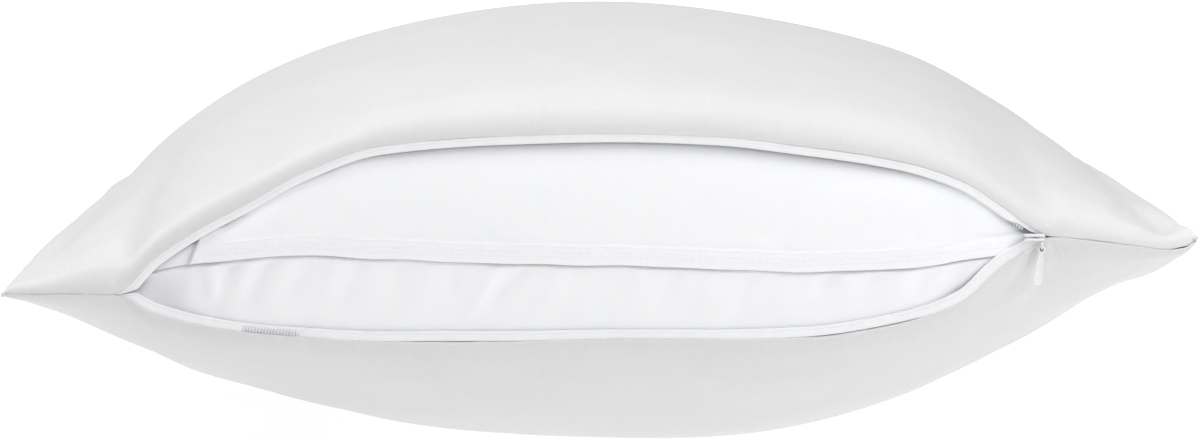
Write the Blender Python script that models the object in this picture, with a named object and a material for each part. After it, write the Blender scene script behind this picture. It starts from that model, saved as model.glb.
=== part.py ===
"""Satin cushion cover with its concealed zip open, on a filled inner pad.

The cover lies on its back.  +Z is up, the zip edge is the front (-Y) and the zip closes
towards +X.  The origin is on the surface that carries it, under the middle of its plan.
The cover's two panels share one parting surface.  Each panel swells away from it between
the sewn sides, and the front edges of the panels part to form the mouth of the zip.
"""

import math

import bmesh
import bpy
import numpy as np
from mathutils import Euler, Vector

MM = 0.001

# Cover: a 450 mm square, drawn in between its corners by the filling
CORNER_X = 214 * MM       # from the middle to a corner, across
CORNER_Y = 208 * MM       # from the middle to a corner, front to back
SIDE_DRAW = 24 * MM       # how far the middle of each side is drawn in
FRONT_DRAW = 13 * MM
BACK_DRAW = 24 * MM
CLOTH = 1.2 * MM          # satin with its seam allowance
CLOTH_EDGE = 0.5 * MM     # height of a panel's edge where the panels meet
GAP = 0.3 * MM            # between pieces that touch

# Crown of the two panels, from the parting surface
CROWN_UP = 83.3 * MM
CROWN_DOWN = 82.2 * MM
PEAK_SHIFT_UP = 0.03      # sideways shift of the crown, as a share of the half width
PEAK_SHIFT_DOWN = -0.07

# Fullness of the crown across the cover, lower is fuller and 0.5 is an ellipse: place as a
# share of the half width, upper panel, lower panel
FULLNESS = np.array([
    [-1.0, 0.40, 0.58],
    [-0.93, 0.55, 0.54],
    [-0.8, 0.58, 0.50],
    [-0.6, 0.57, 0.56],
    [0.0, 0.56, 0.60],
    [0.6, 0.52, 0.66],
    [0.8, 0.57, 0.62],
    [0.93, 0.57, 0.64],
    [1.0, 0.38, 0.48],
])
FULLNESS_BACK_UP = 0.56   # the same from the middle to the back, and to the front
FULLNESS_BACK_DOWN = 0.6
FULLNESS_FRONT = 0.5      # upper panel towards the mouth
FLEX = 1.5                # how gently the parting surface bends to the seams

# Height of the parting surface: rows from front to back, columns from left to right
PARTING = np.array([
    [64.0, 78.5, 81.5],
    [73.5, 80.0, 80.5],
    [64.5, 78.5, 68.5],
]) * MM

# Front edge: place along X, height of the upper and the lower panel's edge, height of the
# pad's seam lip.  The edges are one closed seam where their heights agree.
FRONT_EDGE = np.array([
    # x      upper  lower  lip
    [-214.0, 64.0, 64.0, 68.5],
    [-194.0, 64.0, 64.0, 69.5],
    [-175.0, 63.5, 63.5, 70.5],
    [-160.0, 76.5, 57.0, 72.5],
    [-144.0, 87.0, 52.5, 75.0],
    [-126.0, 96.5, 49.5, 77.0],
    [-108.0, 106.5, 48.0, 78.0],
    [-79.0, 116.5, 46.5, 76.5],
    [-36.0, 120.0, 46.5, 75.0],
    [7.0, 121.0, 47.0, 74.0],
    [40.0, 120.0, 47.0, 73.0],
    [72.0, 116.5, 48.0, 72.0],
    [108.0, 111.0, 53.5, 73.0],
    [130.0, 104.0, 61.5, 76.0],
    [152.0, 90.0, 78.0, 81.0],
    [161.5, 86.3, 81.9, 83.0],
    [163.5, 84.5, 84.5, 83.0],
    [174.0, 83.5, 83.5, 82.5],
    [194.0, 81.0, 81.0, 81.0],
    [206.0, 80.3, 80.3, 80.5],
    [214.0, 81.5, 81.5, 81.5],
]) * MM
UPPER, LOWER, LIP = 1, 2, 3

# Zip tapes and coils, along the mouth
TAPE_THICK = 0.8 * MM
TAPE_BEHIND = 1.7 * MM    # from the panel's outer face to the tape
TAPE_SHOWS = 3.4 * MM     # width that stands out past the panel's edge
TAPE_ENDS = (-172 * MM, 158 * MM)
COIL_RADIUS = 0.7 * MM
COIL_OUT = 1.3 * MM       # from the panel's edge to the coil's centre
COIL_BEHIND = 0.5 * MM
COIL_ENDS = (-165 * MM, 146 * MM)
END_CELL = 2.5 * MM       # shortest length of a tape's or coil's end section
COIL_SPREAD = 0.95 * MM   # from the slot's middle to each coil, where they meet the slider
COIL_SHORT = 0.9 * MM     # the slanted coils end this far before it

# Slider, lying edge on in the mouth's closed end, its wire bridge below
SLIDER_AT = Vector((156.9 * MM, -204.0 * MM, 84.2 * MM))
SLIDER_LENGTH = 9.2 * MM
SLIDER_DEPTH = 4.6 * MM
SLIDER_HEIGHT = 3.2 * MM
SLIDER_PLATE = 1.0 * MM   # thickness of its upper and lower plates
SLIDER_NARROW = 0.7       # depth of the closed end, as a share of the open end
SLIDER_ROUND = 0.4 * MM
POST_RADIUS = 0.9 * MM
POST_AT = -2.4 * MM
BRIDGE_AT = 1.6 * MM      # along the slider, from its middle
BRIDGE_SPAN = 4.2 * MM
BRIDGE_DROP = 2.3 * MM
BRIDGE_LEG = 0.15         # angle of the half loop that is let into the plate
BRIDGE_WIRE = 0.45 * MM
RING_RADIUS = 1.25 * MM   # the pull's ring round the bridge
RING_WIRE = 0.4 * MM
PULL_LENGTH = 12.2 * MM
PULL_NECK = 0.9 * MM      # half the pull's width at the ring
PULL_TIP = 2.2 * MM       # radius of the drop's round end
PULL_THICK = 1.0 * MM
PULL_SWING = math.radians(9)

# Inner pad
PAD_INSET = 3.2 * MM      # from the cover's outer face to the pad
PAD_CORNER_X = 200 * MM
PAD_CORNER_Y = 194 * MM
PAD_DRAW = 13 * MM
PAD_EDGE = 0.6 * MM       # half the thickness of the pad's sewn edge
PAD_BULGE = 5.5 * MM      # how far the pad swells out into the mouth
BULGE_FROM = (-165 * MM, 150 * MM)
BULGE_EASE = 30 * MM
BULGE_LEAST = 0.5         # share of it that is left outside the mouth
CORNER_SLACK = (          # the pad stops short of the front corners: depth, from X, to X
    (18 * MM, -143 * MM, -160 * MM),
    (6 * MM, 146 * MM, 162 * MM),
)
LIP_STEP = 1.8 * MM       # thickness of the seam lip
LIP_ROOT = 2.6 * MM       # depth of the groove behind it
LIP_HANG = 3.0 * MM       # height of the groove behind it
LIP_FULL = 12 * MM        # the lip shrinks where the pad's front is lower than this
LIP_LEAST = 0.2
BOW_SHARE = 0.98          # share of a quarter turn that the pad's front bows through
BOW_ROUND = 0.8           # lower is rounder
SHOULDER = 1.0 * MM       # the pad turns inwards this far past each panel's edge
TAPE_CLEAR = 4.0 * MM     # the pad stays upright behind the tape's free edge

# Sections
ACROSS = 26               # cells of a panel from side to side
MIDDLE_CLOSER = 0.08      # draws the sections closer together in the middle
MOUTH_PLACES = (-175 * MM, -160 * MM, 152 * MM, 161.5 * MM, 163.5 * MM)
BACKWARDS = 22            # cells of a panel from front to back
PAD_BACKWARDS = 14
FACE_CELLS = 4            # cells of the pad's front above and below the lip
SMALL_ANGLE = 0.02        # keeps normals defined at the seams

QUARTER = math.pi / 2


def clear_scene():
    for item in list(bpy.data.objects):
        bpy.data.objects.remove(item, do_unlink=True)


def material(name, colour, roughness, metallic=0.0):
    made = bpy.data.materials.new(name)
    made.use_nodes = True
    shader = made.node_tree.nodes["Principled BSDF"]
    shader.inputs["Base Color"].default_value = (*colour, 1.0)
    shader.inputs["Roughness"].default_value = roughness
    shader.inputs["Metallic"].default_value = metallic
    return made


def finish(item, collection, surface, smooth_below=50):
    """Put an object in the collection with its material and shade it smooth."""
    for holder in list(item.users_collection):
        holder.objects.unlink(item)
    collection.objects.link(item)
    item.data.materials.clear()
    item.data.materials.append(surface)
    if item.type == "MESH":
        item.data.shade_smooth()
        item.data.set_sharp_from_angle(angle=math.radians(smooth_below))
    return item


# ---------------------------------------------------------------- shape of the cover

def smooth_through(rows, column, x):
    """Value at x of a column of rows: a smooth curve that never overshoots them."""
    xs = rows[:, 0]
    ys = rows[:, column]
    step = np.diff(xs)
    slope = np.diff(ys) / step
    before, after = slope[:-1], slope[1:]
    turns = before * after <= 0
    weight_a = 2 * step[1:] + step[:-1]
    weight_b = step[1:] + 2 * step[:-1]
    safe_before = np.where(turns, 1, before)
    safe_after = np.where(turns, 1, after)
    blend = (weight_a + weight_b) / (weight_a / safe_before + weight_b / safe_after)
    tangent = np.concatenate([slope[:1], np.where(turns, 0, blend), slope[-1:]])
    row = np.clip(np.searchsorted(xs, x) - 1, 0, len(xs) - 2)
    t = (x - xs[row]) / step[row]
    return (
        (2 * t**3 - 3 * t**2 + 1) * ys[row]
        + (t**3 - 2 * t**2 + t) * step[row] * tangent[row]
        + (3 * t**2 - 2 * t**3) * ys[row + 1]
        + (t**3 - t**2) * step[row] * tangent[row + 1]
    )


def front_height(column, x):
    """Height along the front edge."""
    return smooth_through(FRONT_EDGE, column, x)


def parting_height(u, v):
    """Height between the panels, bent from the middle to the seams and corners."""
    side = np.abs(u) ** FLEX
    edge = np.abs(v) ** FLEX
    column = np.where(u < 0, 0, 2)
    row = np.where(v < 0, 0, 2)
    return (
        PARTING[1, 1] * (1 - side) * (1 - edge)
        + PARTING[1, column] * side * (1 - edge)
        + PARTING[row, 1] * (1 - side) * edge
        + PARTING[row, column] * side * edge
    )


def swell(u, up):
    """Height of the crown above or below the parting surface, at one place across."""
    shift = PEAK_SHIFT_UP if up else PEAK_SHIFT_DOWN
    fullness = smooth_through(FULLNESS, UPPER if up else LOWER, u)
    skewed = u + shift * (1 - u**2)
    return np.clip(1 - skewed**2, 0, 1) ** fullness


def rise(v, up):
    """Share of the crown reached between the front or back edge and the middle."""
    front = FULLNESS_FRONT if up else FULLNESS_BACK_DOWN
    back = FULLNESS_BACK_UP if up else FULLNESS_BACK_DOWN
    return np.clip(1 - v**2, 0, 1) ** np.where(v < 0, front, back)


def front_line(x):
    """Y of the cover's front edge."""
    return -(CORNER_Y - FRONT_DRAW * (1 - (x / CORNER_X) ** 2))


def cover_face(across, back, up):
    """Outer face of a panel; both angles run from -90 to 90 degrees."""
    u, v = np.broadcast_arrays(np.sin(across), np.sin(back))
    x = u * (CORNER_X - SIDE_DRAW * (1 - v**2))
    draw = np.where(v < 0, FRONT_DRAW, BACK_DRAW)
    y = v * (CORNER_Y - draw * (1 - u**2))
    parting = parting_height(u, v)
    edge = front_height(UPPER if up else LOWER, u * CORNER_X)
    opened = np.where(v < 0, edge - parting_height(u, -np.ones_like(v)), 0)
    sign = 1 if up else -1
    crown = sign * (CROWN_UP if up else CROWN_DOWN) * swell(u, up)
    z = parting + opened + (crown - opened) * rise(v, up) + sign * (GAP / 2 + CLOTH_EDGE)
    return np.stack([x, y, np.maximum(z, 0)], axis=-1)


def cover_normal(across, back, up):
    limit = QUARTER - SMALL_ANGLE
    across = np.clip(across, -limit, limit)
    back = np.clip(back, -limit, limit)
    step = SMALL_ANGLE / 4
    along = cover_face(across + step, back, up) - cover_face(across - step, back, up)
    deep = cover_face(across, back + step, up) - cover_face(across, back - step, up)
    normal = np.cross(along, deep) * (1 if up else -1)
    return normal / np.linalg.norm(normal, axis=-1, keepdims=True)


def parting_at(across, back):
    """Parting surface between the panels, with the front seam's own height."""
    u, v = np.broadcast_arrays(np.sin(across), np.sin(back))
    x = u * CORNER_X
    seam = (front_height(UPPER, x) + front_height(LOWER, x)) / 2
    opened = np.where(v < 0, seam - parting_height(u, -np.ones_like(v)), 0)
    return parting_height(u, v) + opened * (1 - rise(v, True))


# ---------------------------------------------------------------- building meshes

def loft(name, rings):
    """Closed body through rings of points; opposite points of an end ring close it."""
    count = len(rings[0])
    shape = bmesh.new()
    rows = [[shape.verts.new(point) for point in ring] for ring in rings]
    for row, after in zip(rows, rows[1:]):
        for j in range(count):
            k = (j + 1) % count
            face = [row[j], after[j], after[k], row[k]]
            # a quad splits from its first corner, and both skins have to split the same way
            first = 0 if j < count // 2 else 1
            shape.faces.new(face[first:] + face[:first])
    for row, turned in ((rows[0], False), (rows[-1], True)):
        for j in range(count // 2 - 1):
            corners = [row[j], row[j + 1], row[count - 2 - j], row[count - 1 - j]]
            shape.faces.new(corners[::-1] if turned else corners)
    if shape.calc_volume(signed=True) < 0:
        bmesh.ops.reverse_faces(shape, faces=shape.faces)
    mesh = bpy.data.meshes.new(name)
    shape.to_mesh(mesh)
    shape.free()
    return bpy.data.objects.new(name, mesh)


def spread_angles(cells):
    """Angles from -90 to 90 degrees, a little closer together in the middle."""
    t = np.linspace(-1, 1, cells + 1)
    return QUARTER * (t - MIDDLE_CLOSER * np.sin(math.pi * t))


def stations():
    """Angles of the panels' sections across, with extra ones at the mouth's ends."""
    extra = [math.asin(place / CORNER_X) for place in MOUTH_PLACES]
    return np.sort(np.append(spread_angles(ACROSS), extra))


def panel(name, up):
    """One satin panel: the outer face, and the inner face a cloth's thickness inside."""
    back = spread_angles(BACKWARDS)
    sign = 1 if up else -1
    rings = []
    for across in stations():
        outer = cover_face(across, back, up)
        inner = outer - CLOTH * cover_normal(across, back, up)
        seam = parting_at(across, back) + sign * GAP / 2
        meets = sign * inner[:, 2] < sign * seam
        closed = sewn_shut(math.sin(across) * CORNER_X) | (np.sin(back) > 0)
        inner[:, 2] = np.where(meets & closed, seam, inner[:, 2])
        if abs(across) == QUARTER:
            inner[:, 2] = outer[:, 2] - sign * CLOTH_EDGE
        inner[[0, -1], 2] = outer[[0, -1], 2] - sign * CLOTH_EDGE
        rings.append(np.vstack([outer, inner[::-1]]))
    return loft(name, rings)


def sewn_shut(x):
    return front_height(UPPER, x) - front_height(LOWER, x) < GAP


# ---------------------------------------------------------------- zip

def mouth_stations(ends):
    """Stations of the panels that lie well within the two ends, with those ends."""
    places = [(math.sin(a) * CORNER_X, a) for a in stations()]
    inside = [a for x, a in places if ends[0] + END_CELL < x < ends[1] - END_CELL]
    first = math.asin(ends[0] / CORNER_X)
    last = math.asin(ends[1] / CORNER_X)
    return [first, *inside, last]


def into_mouth(across, up):
    """Direction from a panel's front edge straight into the mouth."""
    step = SMALL_ANGLE / 4
    ahead = cover_face(across + step, -QUARTER, up)
    behind = cover_face(across - step, -QUARTER, up)
    run, climb = ahead[0] - behind[0], ahead[2] - behind[2]
    length = math.hypot(run, climb)
    sign = -1 if up else 1
    return np.array([-climb, 0, run]) * sign / length


def half_mouth(x):
    return (front_height(UPPER, x) - front_height(LOWER, x)) / 2


def zip_tape(name, up):
    """Woven strip: sewn behind the panel's edge, its free edge out in the mouth."""
    sign = 1 if up else -1
    rings = []
    under_panel = spread_angles(BACKWARDS)[1::-1]
    for across in mouth_stations(TAPE_ENDS):
        panel_face = cover_face(across, under_panel, up)
        inwards = -cover_normal(across, under_panel, up)
        edge = panel_face[-1]
        shows = min(TAPE_SHOWS, 0.8 * (half_mouth(edge[0]) - GAP))
        tip = edge + into_mouth(across, up) * shows
        depths = np.vstack([inwards, (0, 1, 0)])
        points = np.vstack([panel_face, tip])
        front = points + depths * TAPE_BEHIND
        rear = points + depths * (TAPE_BEHIND + TAPE_THICK)
        ring = [*front, *rear[::-1]]
        rings.append(ring if sign > 0 else ring[::-1])
    return loft(name, rings)


def wire(name, points, radius):
    """Round wire on straight runs between its points, with closed ends."""
    curve = bpy.data.curves.new(name, "CURVE")
    curve.dimensions = "3D"
    curve.bevel_depth = radius
    curve.bevel_resolution = 2
    curve.use_fill_caps = True
    spline = curve.splines.new("POLY")
    spline.points.add(len(points) - 1)
    for slot, point in zip(spline.points, points):
        slot.co = (*point, 1)
    return bpy.data.objects.new(name, curve)


def zip_coil(name, up):
    points = []
    for across in mouth_stations(COIL_ENDS):
        edge = cover_face(across, -QUARTER, up)
        points.append(edge + into_mouth(across, up) * COIL_OUT + (0, COIL_BEHIND, 0))
    entry = Vector((-SLIDER_LENGTH / 2 - COIL_SHORT, 0, COIL_SPREAD if up else -COIL_SPREAD))
    return wire(name, [*points, SLIDER_AT + entry], COIL_RADIUS)


def as_mesh(item):
    """The object's evaluated shape as a mesh object with welded caps."""
    bpy.context.scene.collection.objects.link(item)
    graph = bpy.context.evaluated_depsgraph_get()
    mesh = bpy.data.meshes.new_from_object(item.evaluated_get(graph))
    shape = bmesh.new()
    shape.from_mesh(mesh)
    bmesh.ops.remove_doubles(shape, verts=shape.verts, dist=0.01 * MM)
    shape.to_mesh(mesh)
    shape.free()
    name = item.name
    bpy.data.objects.remove(item, do_unlink=True)
    return bpy.data.objects.new(name, mesh)


def slider_plate(name, height):
    """One plate of the slider, narrowing towards its closed end."""
    shape = bmesh.new()
    bmesh.ops.create_cube(shape, size=1)
    bmesh.ops.scale(shape, vec=(SLIDER_LENGTH, SLIDER_DEPTH, SLIDER_PLATE), verts=shape.verts)
    for vert in shape.verts:
        if vert.co.x > 0:
            vert.co.y *= SLIDER_NARROW
    bmesh.ops.bevel(
        shape, geom=shape.edges, offset=SLIDER_ROUND, segments=2, affect="EDGES", profile=0.5
    )
    bmesh.ops.translate(shape, vec=(0, 0, height), verts=shape.verts)
    mesh = bpy.data.meshes.new(name)
    shape.to_mesh(mesh)
    shape.free()
    return bpy.data.objects.new(name, mesh)


def slider_post(name):
    shape = bmesh.new()
    bmesh.ops.create_cone(
        shape, cap_ends=True, segments=16, radius1=POST_RADIUS, radius2=POST_RADIUS,
        depth=SLIDER_HEIGHT - SLIDER_PLATE,
    )
    bmesh.ops.translate(shape, vec=(POST_AT, 0, 0), verts=shape.verts)
    mesh = bpy.data.meshes.new(name)
    shape.to_mesh(mesh)
    shape.free()
    return bpy.data.objects.new(name, mesh)


def bridge_wire(name):
    """Half loop of wire under the slider, its legs let into the lower plate."""
    base = -SLIDER_HEIGHT / 2
    legs = base + SLIDER_PLATE / 2
    points = [(BRIDGE_AT + BRIDGE_SPAN / 2, 0, legs)]
    for turn in np.linspace(BRIDGE_LEG, math.pi - BRIDGE_LEG, 10):
        x = BRIDGE_AT + BRIDGE_SPAN / 2 * math.cos(turn)
        points.append((x, 0, base - BRIDGE_DROP * math.sin(turn) ** 0.7))
    points.append((BRIDGE_AT - BRIDGE_SPAN / 2, 0, legs))
    return as_mesh(wire(name, points, BRIDGE_WIRE))


def join_tools(body, pieces, tools):
    """Union each piece into the body and keep the pieces as hidden tools."""
    for piece in pieces:
        tools.objects.link(piece)
        piece.hide_render = True
        piece.display_type = "WIRE"
        piece.parent = body
        join = body.modifiers.new(piece.name, "BOOLEAN")
        join.operation = "UNION"
        join.solver = "EXACT"
        join.object = piece
    return body


def zip_slider(name, tools):
    """Slider: two plates joined by a post, with the bridge for the pull."""
    level = (SLIDER_HEIGHT - SLIDER_PLATE) / 2
    body = slider_plate(name, -level)
    pieces = [slider_post("slider_post"), slider_plate("slider_upper_plate", level)]
    join_tools(body, [*pieces, bridge_wire("slider_bridge")], tools)
    body.location = SLIDER_AT
    return body


def arc(centre, radius, start, end, steps):
    turns = np.linspace(start, end, steps)
    return [(centre[0] + radius * math.cos(t), centre[1] + radius * math.sin(t)) for t in turns]


def zip_pull(name, tools):
    """Drop-shaped tab with a ring across its top, hung round the bridge."""
    low = -(RING_RADIUS + PULL_LENGTH - PULL_TIP)
    spread = math.radians(12)
    bottom = arc((0, low), PULL_TIP, math.pi - spread, 2 * math.pi + spread, 16)
    top = -RING_RADIUS + RING_WIRE / 2
    curve = bpy.data.curves.new(name, "CURVE")
    curve.dimensions = "2D"
    curve.fill_mode = "BOTH"
    curve.extrude = PULL_THICK / 2
    outline = [(PULL_NECK, top), (-PULL_NECK, top), *bottom]
    spline = curve.splines.new("POLY")
    spline.points.add(len(outline) - 1)
    for slot, point in zip(spline.points, outline):
        slot.co = (*point, 0, 1)
    spline.use_cyclic_u = True
    tab = as_mesh(bpy.data.objects.new(name, curve))

    bpy.ops.mesh.primitive_torus_add(
        major_radius=RING_RADIUS, minor_radius=RING_WIRE, major_segments=22, minor_segments=8,
        rotation=(0, QUARTER, 0),
    )
    ring = bpy.context.object
    ring.name = "pull_ring"
    for holder in list(ring.users_collection):
        holder.objects.unlink(ring)
    join_tools(tab, [ring], tools)
    hole = RING_RADIUS - RING_WIRE
    hang = SLIDER_HEIGHT / 2 + BRIDGE_DROP + hole - BRIDGE_WIRE - GAP
    tab.location = SLIDER_AT + Vector((BRIDGE_AT, 0, -hang))
    tab.rotation_euler = Euler((QUARTER, PULL_SWING, 0))
    return tab


# ---------------------------------------------------------------- inner pad

def ease(t):
    t = np.clip(t, 0, 1)
    return t * t * (3 - 2 * t)


def pad_front(x):
    """Y of the pad's front edge: behind the tapes, and short of the corners."""
    slack = sum(depth * ease((x - start) / (end - start)) for depth, start, end in CORNER_SLACK)
    return front_line(x) + PAD_INSET + slack


def pad_bulge(x):
    left = ease((x - BULGE_FROM[0]) / BULGE_EASE)
    right = ease((BULGE_FROM[1] - x) / BULGE_EASE)
    return PAD_BULGE * np.maximum(left * right, BULGE_LEAST)


def pad_half(u, back, up):
    """The pad's upper or lower face from its front shoulder to its back seam."""
    v = np.sin(back)
    sign = 1 if up else -1
    x = u * (PAD_CORNER_X - PAD_DRAW * (1 - v**2))
    lip = front_height(LIP, u * PAD_CORNER_X)
    column = UPPER if up else LOWER
    reach = 2 * PAD_INSET
    beside = [front_height(column, u * PAD_CORNER_X + off) for off in (-reach, reach)]
    edge = min(beside) if up else max(beside)
    shoulder = sign * max(sign * edge - SHOULDER, sign * lip + LIP_FULL * LIP_LEAST)
    front = pad_front(x)
    rear = PAD_CORNER_Y - PAD_DRAW * (1 - u**2)
    y = np.where(v < 0, -v * front, v * rear)
    opened = np.where(v < 0, shoulder - parting_height(u, -np.ones_like(v)), 0)
    crown = (CROWN_UP if up else CROWN_DOWN) - PAD_INSET
    crown = sign * (PAD_EDGE + crown * swell(u, up))
    edge_share = 1 - rise(v, up)
    z = parting_height(u * np.ones_like(v), v) + opened + (crown - opened) * rise(v, up)
    z = z + np.where(v > 0, sign * PAD_EDGE * edge_share, 0)
    return np.stack([x, y, np.maximum(z, CLOTH + GAP)], axis=-1)


def pad_ring(u, back):
    """One section of the pad, from the lip over the top and round to the lip's groove."""
    over = pad_half(u, back, True)
    under = pad_half(u, back, False)
    x = over[0, 0]
    lip = front_height(LIP, x)
    high, low = over[0, 2], under[0, 2]
    scale_up = np.clip((high - lip) / LIP_FULL, LIP_LEAST, 1)
    scale_down = np.clip((lip - low) / LIP_FULL, LIP_LEAST, 1)
    depth = pad_bulge(x)
    swelling = math.sqrt(scale_up)
    upper, lower = [], []
    top = high - TAPE_CLEAR * scale_up
    for t in np.linspace(0, 1, FACE_CELLS):
        bow = math.cos(QUARTER * BOW_SHARE * t) ** BOW_ROUND
        upper.append((x, over[0, 1] - depth * swelling * bow, lip + (top - lip) * t))
    tip = upper[0][1]
    small = min(scale_up, scale_down)
    inner_lip = (x, tip + LIP_STEP * small, lip + 0.2 * LIP_HANG * small)
    root = (x, tip + LIP_ROOT * small, lip + LIP_HANG * small)
    bottom = low + TAPE_CLEAR * scale_down
    for t in np.linspace(0, 1, FACE_CELLS - 1)[1:]:
        bow = math.cos(QUARTER * BOW_SHARE * t) ** BOW_ROUND
        y = under[0, 1] + (tip + LIP_ROOT * small - under[0, 1]) * bow
        lower.append((x, y, lip + (bottom - lip) * t))
    lower = [inner_lip, root, *lower]
    return [*upper, *over, *under[::-1], *lower[::-1]]


def inner_pad(name):
    back = spread_angles(PAD_BACKWARDS)
    rings = [pad_ring(math.sin(across), back) for across in spread_angles(ACROSS)]
    return loft(name, rings)


# ---------------------------------------------------------------- the whole object

def build():
    clear_scene()
    cover = bpy.data.collections.new("cushion_cover")
    tools = bpy.data.collections.new("cutters")
    bpy.context.scene.collection.children.link(cover)
    bpy.context.scene.collection.children.link(tools)

    satin = material("satin", (0.76, 0.76, 0.76), 0.35)
    cotton = material("pad cotton", (0.86, 0.87, 0.9), 0.85)
    woven = material("zip tape", (0.82, 0.83, 0.86), 0.75)
    nylon = material("coil nylon", (0.85, 0.86, 0.88), 0.4)
    enamel = material("white enamel", (0.8, 0.8, 0.8), 0.3)

    finish(panel("cover_top_panel", True), cover, satin)
    finish(panel("cover_bottom_panel", False), cover, satin)
    finish(zip_tape("zip_tape_upper", True), cover, woven)
    finish(zip_tape("zip_tape_lower", False), cover, woven)
    finish(zip_coil("zip_coil_upper", True), cover, nylon)
    finish(zip_coil("zip_coil_lower", False), cover, nylon)
    finish(zip_slider("zip_slider", tools), cover, enamel, 30)
    finish(zip_pull("zip_pull", tools), cover, enamel, 30)
    finish(inner_pad("inner_pad"), cover, cotton)


build()
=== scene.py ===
"""Satin cushion cover with its concealed zip open, on a filled cotton pad, in a studio."""

import math

import bmesh
import bpy
import numpy as np
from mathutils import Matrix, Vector


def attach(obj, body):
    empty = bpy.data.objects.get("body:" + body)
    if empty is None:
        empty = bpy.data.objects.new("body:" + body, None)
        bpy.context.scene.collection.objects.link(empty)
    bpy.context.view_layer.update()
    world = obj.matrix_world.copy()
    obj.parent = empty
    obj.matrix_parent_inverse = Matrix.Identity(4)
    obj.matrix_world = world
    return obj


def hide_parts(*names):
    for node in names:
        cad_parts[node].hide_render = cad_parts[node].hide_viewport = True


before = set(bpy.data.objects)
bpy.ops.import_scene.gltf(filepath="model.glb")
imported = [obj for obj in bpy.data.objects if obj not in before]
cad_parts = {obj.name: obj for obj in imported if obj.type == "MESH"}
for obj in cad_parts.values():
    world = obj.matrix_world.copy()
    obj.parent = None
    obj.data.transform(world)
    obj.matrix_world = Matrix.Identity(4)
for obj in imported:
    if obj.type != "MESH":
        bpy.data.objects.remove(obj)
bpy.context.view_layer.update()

MM = 0.001
QUARTER = math.pi / 2
rng = np.random.default_rng(45)

# ---------------------------------------------------------------- sizes of the cushion
# Cover: a 450 mm square, drawn in between its corners by the filling
CORNER_X = 214 * MM
CORNER_Y = 208 * MM
SIDE_DRAW = 24 * MM
FRONT_DRAW = 13 * MM
BACK_DRAW = 24 * MM
SATIN = 0.35 * MM          # one layer of satin
SEAM_HALF = 0.66 * MM      # from the seam's middle to a panel's edge
CROWN_UP = 83 * MM
CROWN_DOWN = 82.2 * MM
PEAK_SHIFT_UP = 0.04
PEAK_SHIFT_DOWN = -0.05
FULLNESS_BACK_UP = 0.56
FULLNESS_BACK_DOWN = 0.6
FULLNESS_FRONT = 0.5
FLEX = 1.5

# Fullness of the crown across the cover: share of the half width, upper panel, lower panel
FULLNESS = np.array([
    [-1.0, 0.37, 0.46],
    [-0.93, 0.6, 0.56],
    [-0.8, 0.6, 0.51],
    [-0.6, 0.61, 0.61],
    [0.0, 0.56, 0.6],
    [0.6, 0.51, 0.62],
    [0.8, 0.56, 0.61],
    [0.93, 0.56, 0.59],
    [1.0, 0.33, 0.38],
])

# Height of the seam surface: rows from front to back, columns from left to right
PARTING = np.array([
    [64.0, 78.5, 81.5],
    [73.5, 80.0, 80.5],
    [64.5, 78.5, 68.5],
]) * MM

# Front edge: place along X, height of the upper and the lower satin edge, of the pad's lip
FRONT_EDGE = np.array([
    # x      upper  lower  lip
    [-214.0, 64.0, 64.0, 68.5],
    [-194.0, 64.0, 64.0, 69.5],
    [-175.0, 63.5, 63.5, 70.5],
    [-160.0, 76.5, 57.0, 72.5],
    [-144.0, 87.0, 52.5, 75.0],
    [-126.0, 96.5, 49.5, 77.0],
    [-108.0, 106.5, 48.0, 78.0],
    [-79.0, 116.5, 46.5, 76.5],
    [-36.0, 120.0, 46.5, 75.0],
    [7.0, 121.0, 47.0, 74.0],
    [40.0, 120.0, 47.0, 73.0],
    [72.0, 116.5, 48.0, 72.0],
    [108.0, 111.0, 53.5, 73.0],
    [130.0, 104.0, 61.5, 76.0],
    [145.5, 94.2, 75.4, 78.2],
    [151.0, 90.3, 78.3, 79.5],
    [155.5, 87.2, 80.9, 81.5],
    [158.5, 85.6, 83.0, 82.8],
    [161.5, 84.5, 84.3, 83.5],
    [164.0, 84.3, 84.3, 83.3],
    [174.0, 83.5, 83.5, 82.5],
    [194.0, 81.0, 81.0, 81.0],
    [206.0, 79.9, 79.9, 80.5],
    [210.0, 80.4, 80.4, 80.5],
    [214.0, 83.6, 83.6, 82.5],
]) * MM
UPPER, LOWER, LIP = 1, 2, 3
MOUTH = (-175 * MM, 161.5 * MM)


# ---------------------------------------------------------------- camera
CAMERA_AIM = Vector((0, 0, 0.0795))
CAMERA_FAR = 3.0
CAMERA_RISE = math.radians(3)


def add_camera():
    """A long lens level with the zip edge, three degrees above the floor."""
    data = bpy.data.cameras.new("camera")
    data.sensor_width = 36
    data.lens = 233.6
    data.clip_start = 0.05
    data.clip_end = 200
    camera = bpy.data.objects.new("camera", data)
    back = Vector((0, -math.cos(CAMERA_RISE), math.sin(CAMERA_RISE)))
    camera.location = CAMERA_AIM + CAMERA_FAR * back
    camera.rotation_euler = (QUARTER - CAMERA_RISE, 0, 0)
    bpy.context.scene.collection.objects.link(camera)
    bpy.context.scene.camera = camera


add_camera()


# ---------------------------------------------------------------- materials
def srgb(code):
    """Linear colour of an sRGB hex value."""
    parts = [int(code[k:k + 2], 16) / 255 for k in (1, 3, 5)]
    lin = [p / 12.92 if p <= 0.04045 else ((p + 0.055) / 1.055) ** 2.4 for p in parts]
    return (*lin, 1.0)


def add_node(tree, kind, links=None, **settings):
    """One shader node; links map its input sockets to output sockets, the rest are values."""
    node = tree.nodes.new(kind)
    for key, value in settings.items():
        if hasattr(node, key):
            setattr(node, key, value)
        else:
            node.inputs[key.replace("_", " ")].default_value = value
    for socket, source in (links or {}).items():
        tree.links.new(source, node.inputs[socket])
    return node


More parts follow.
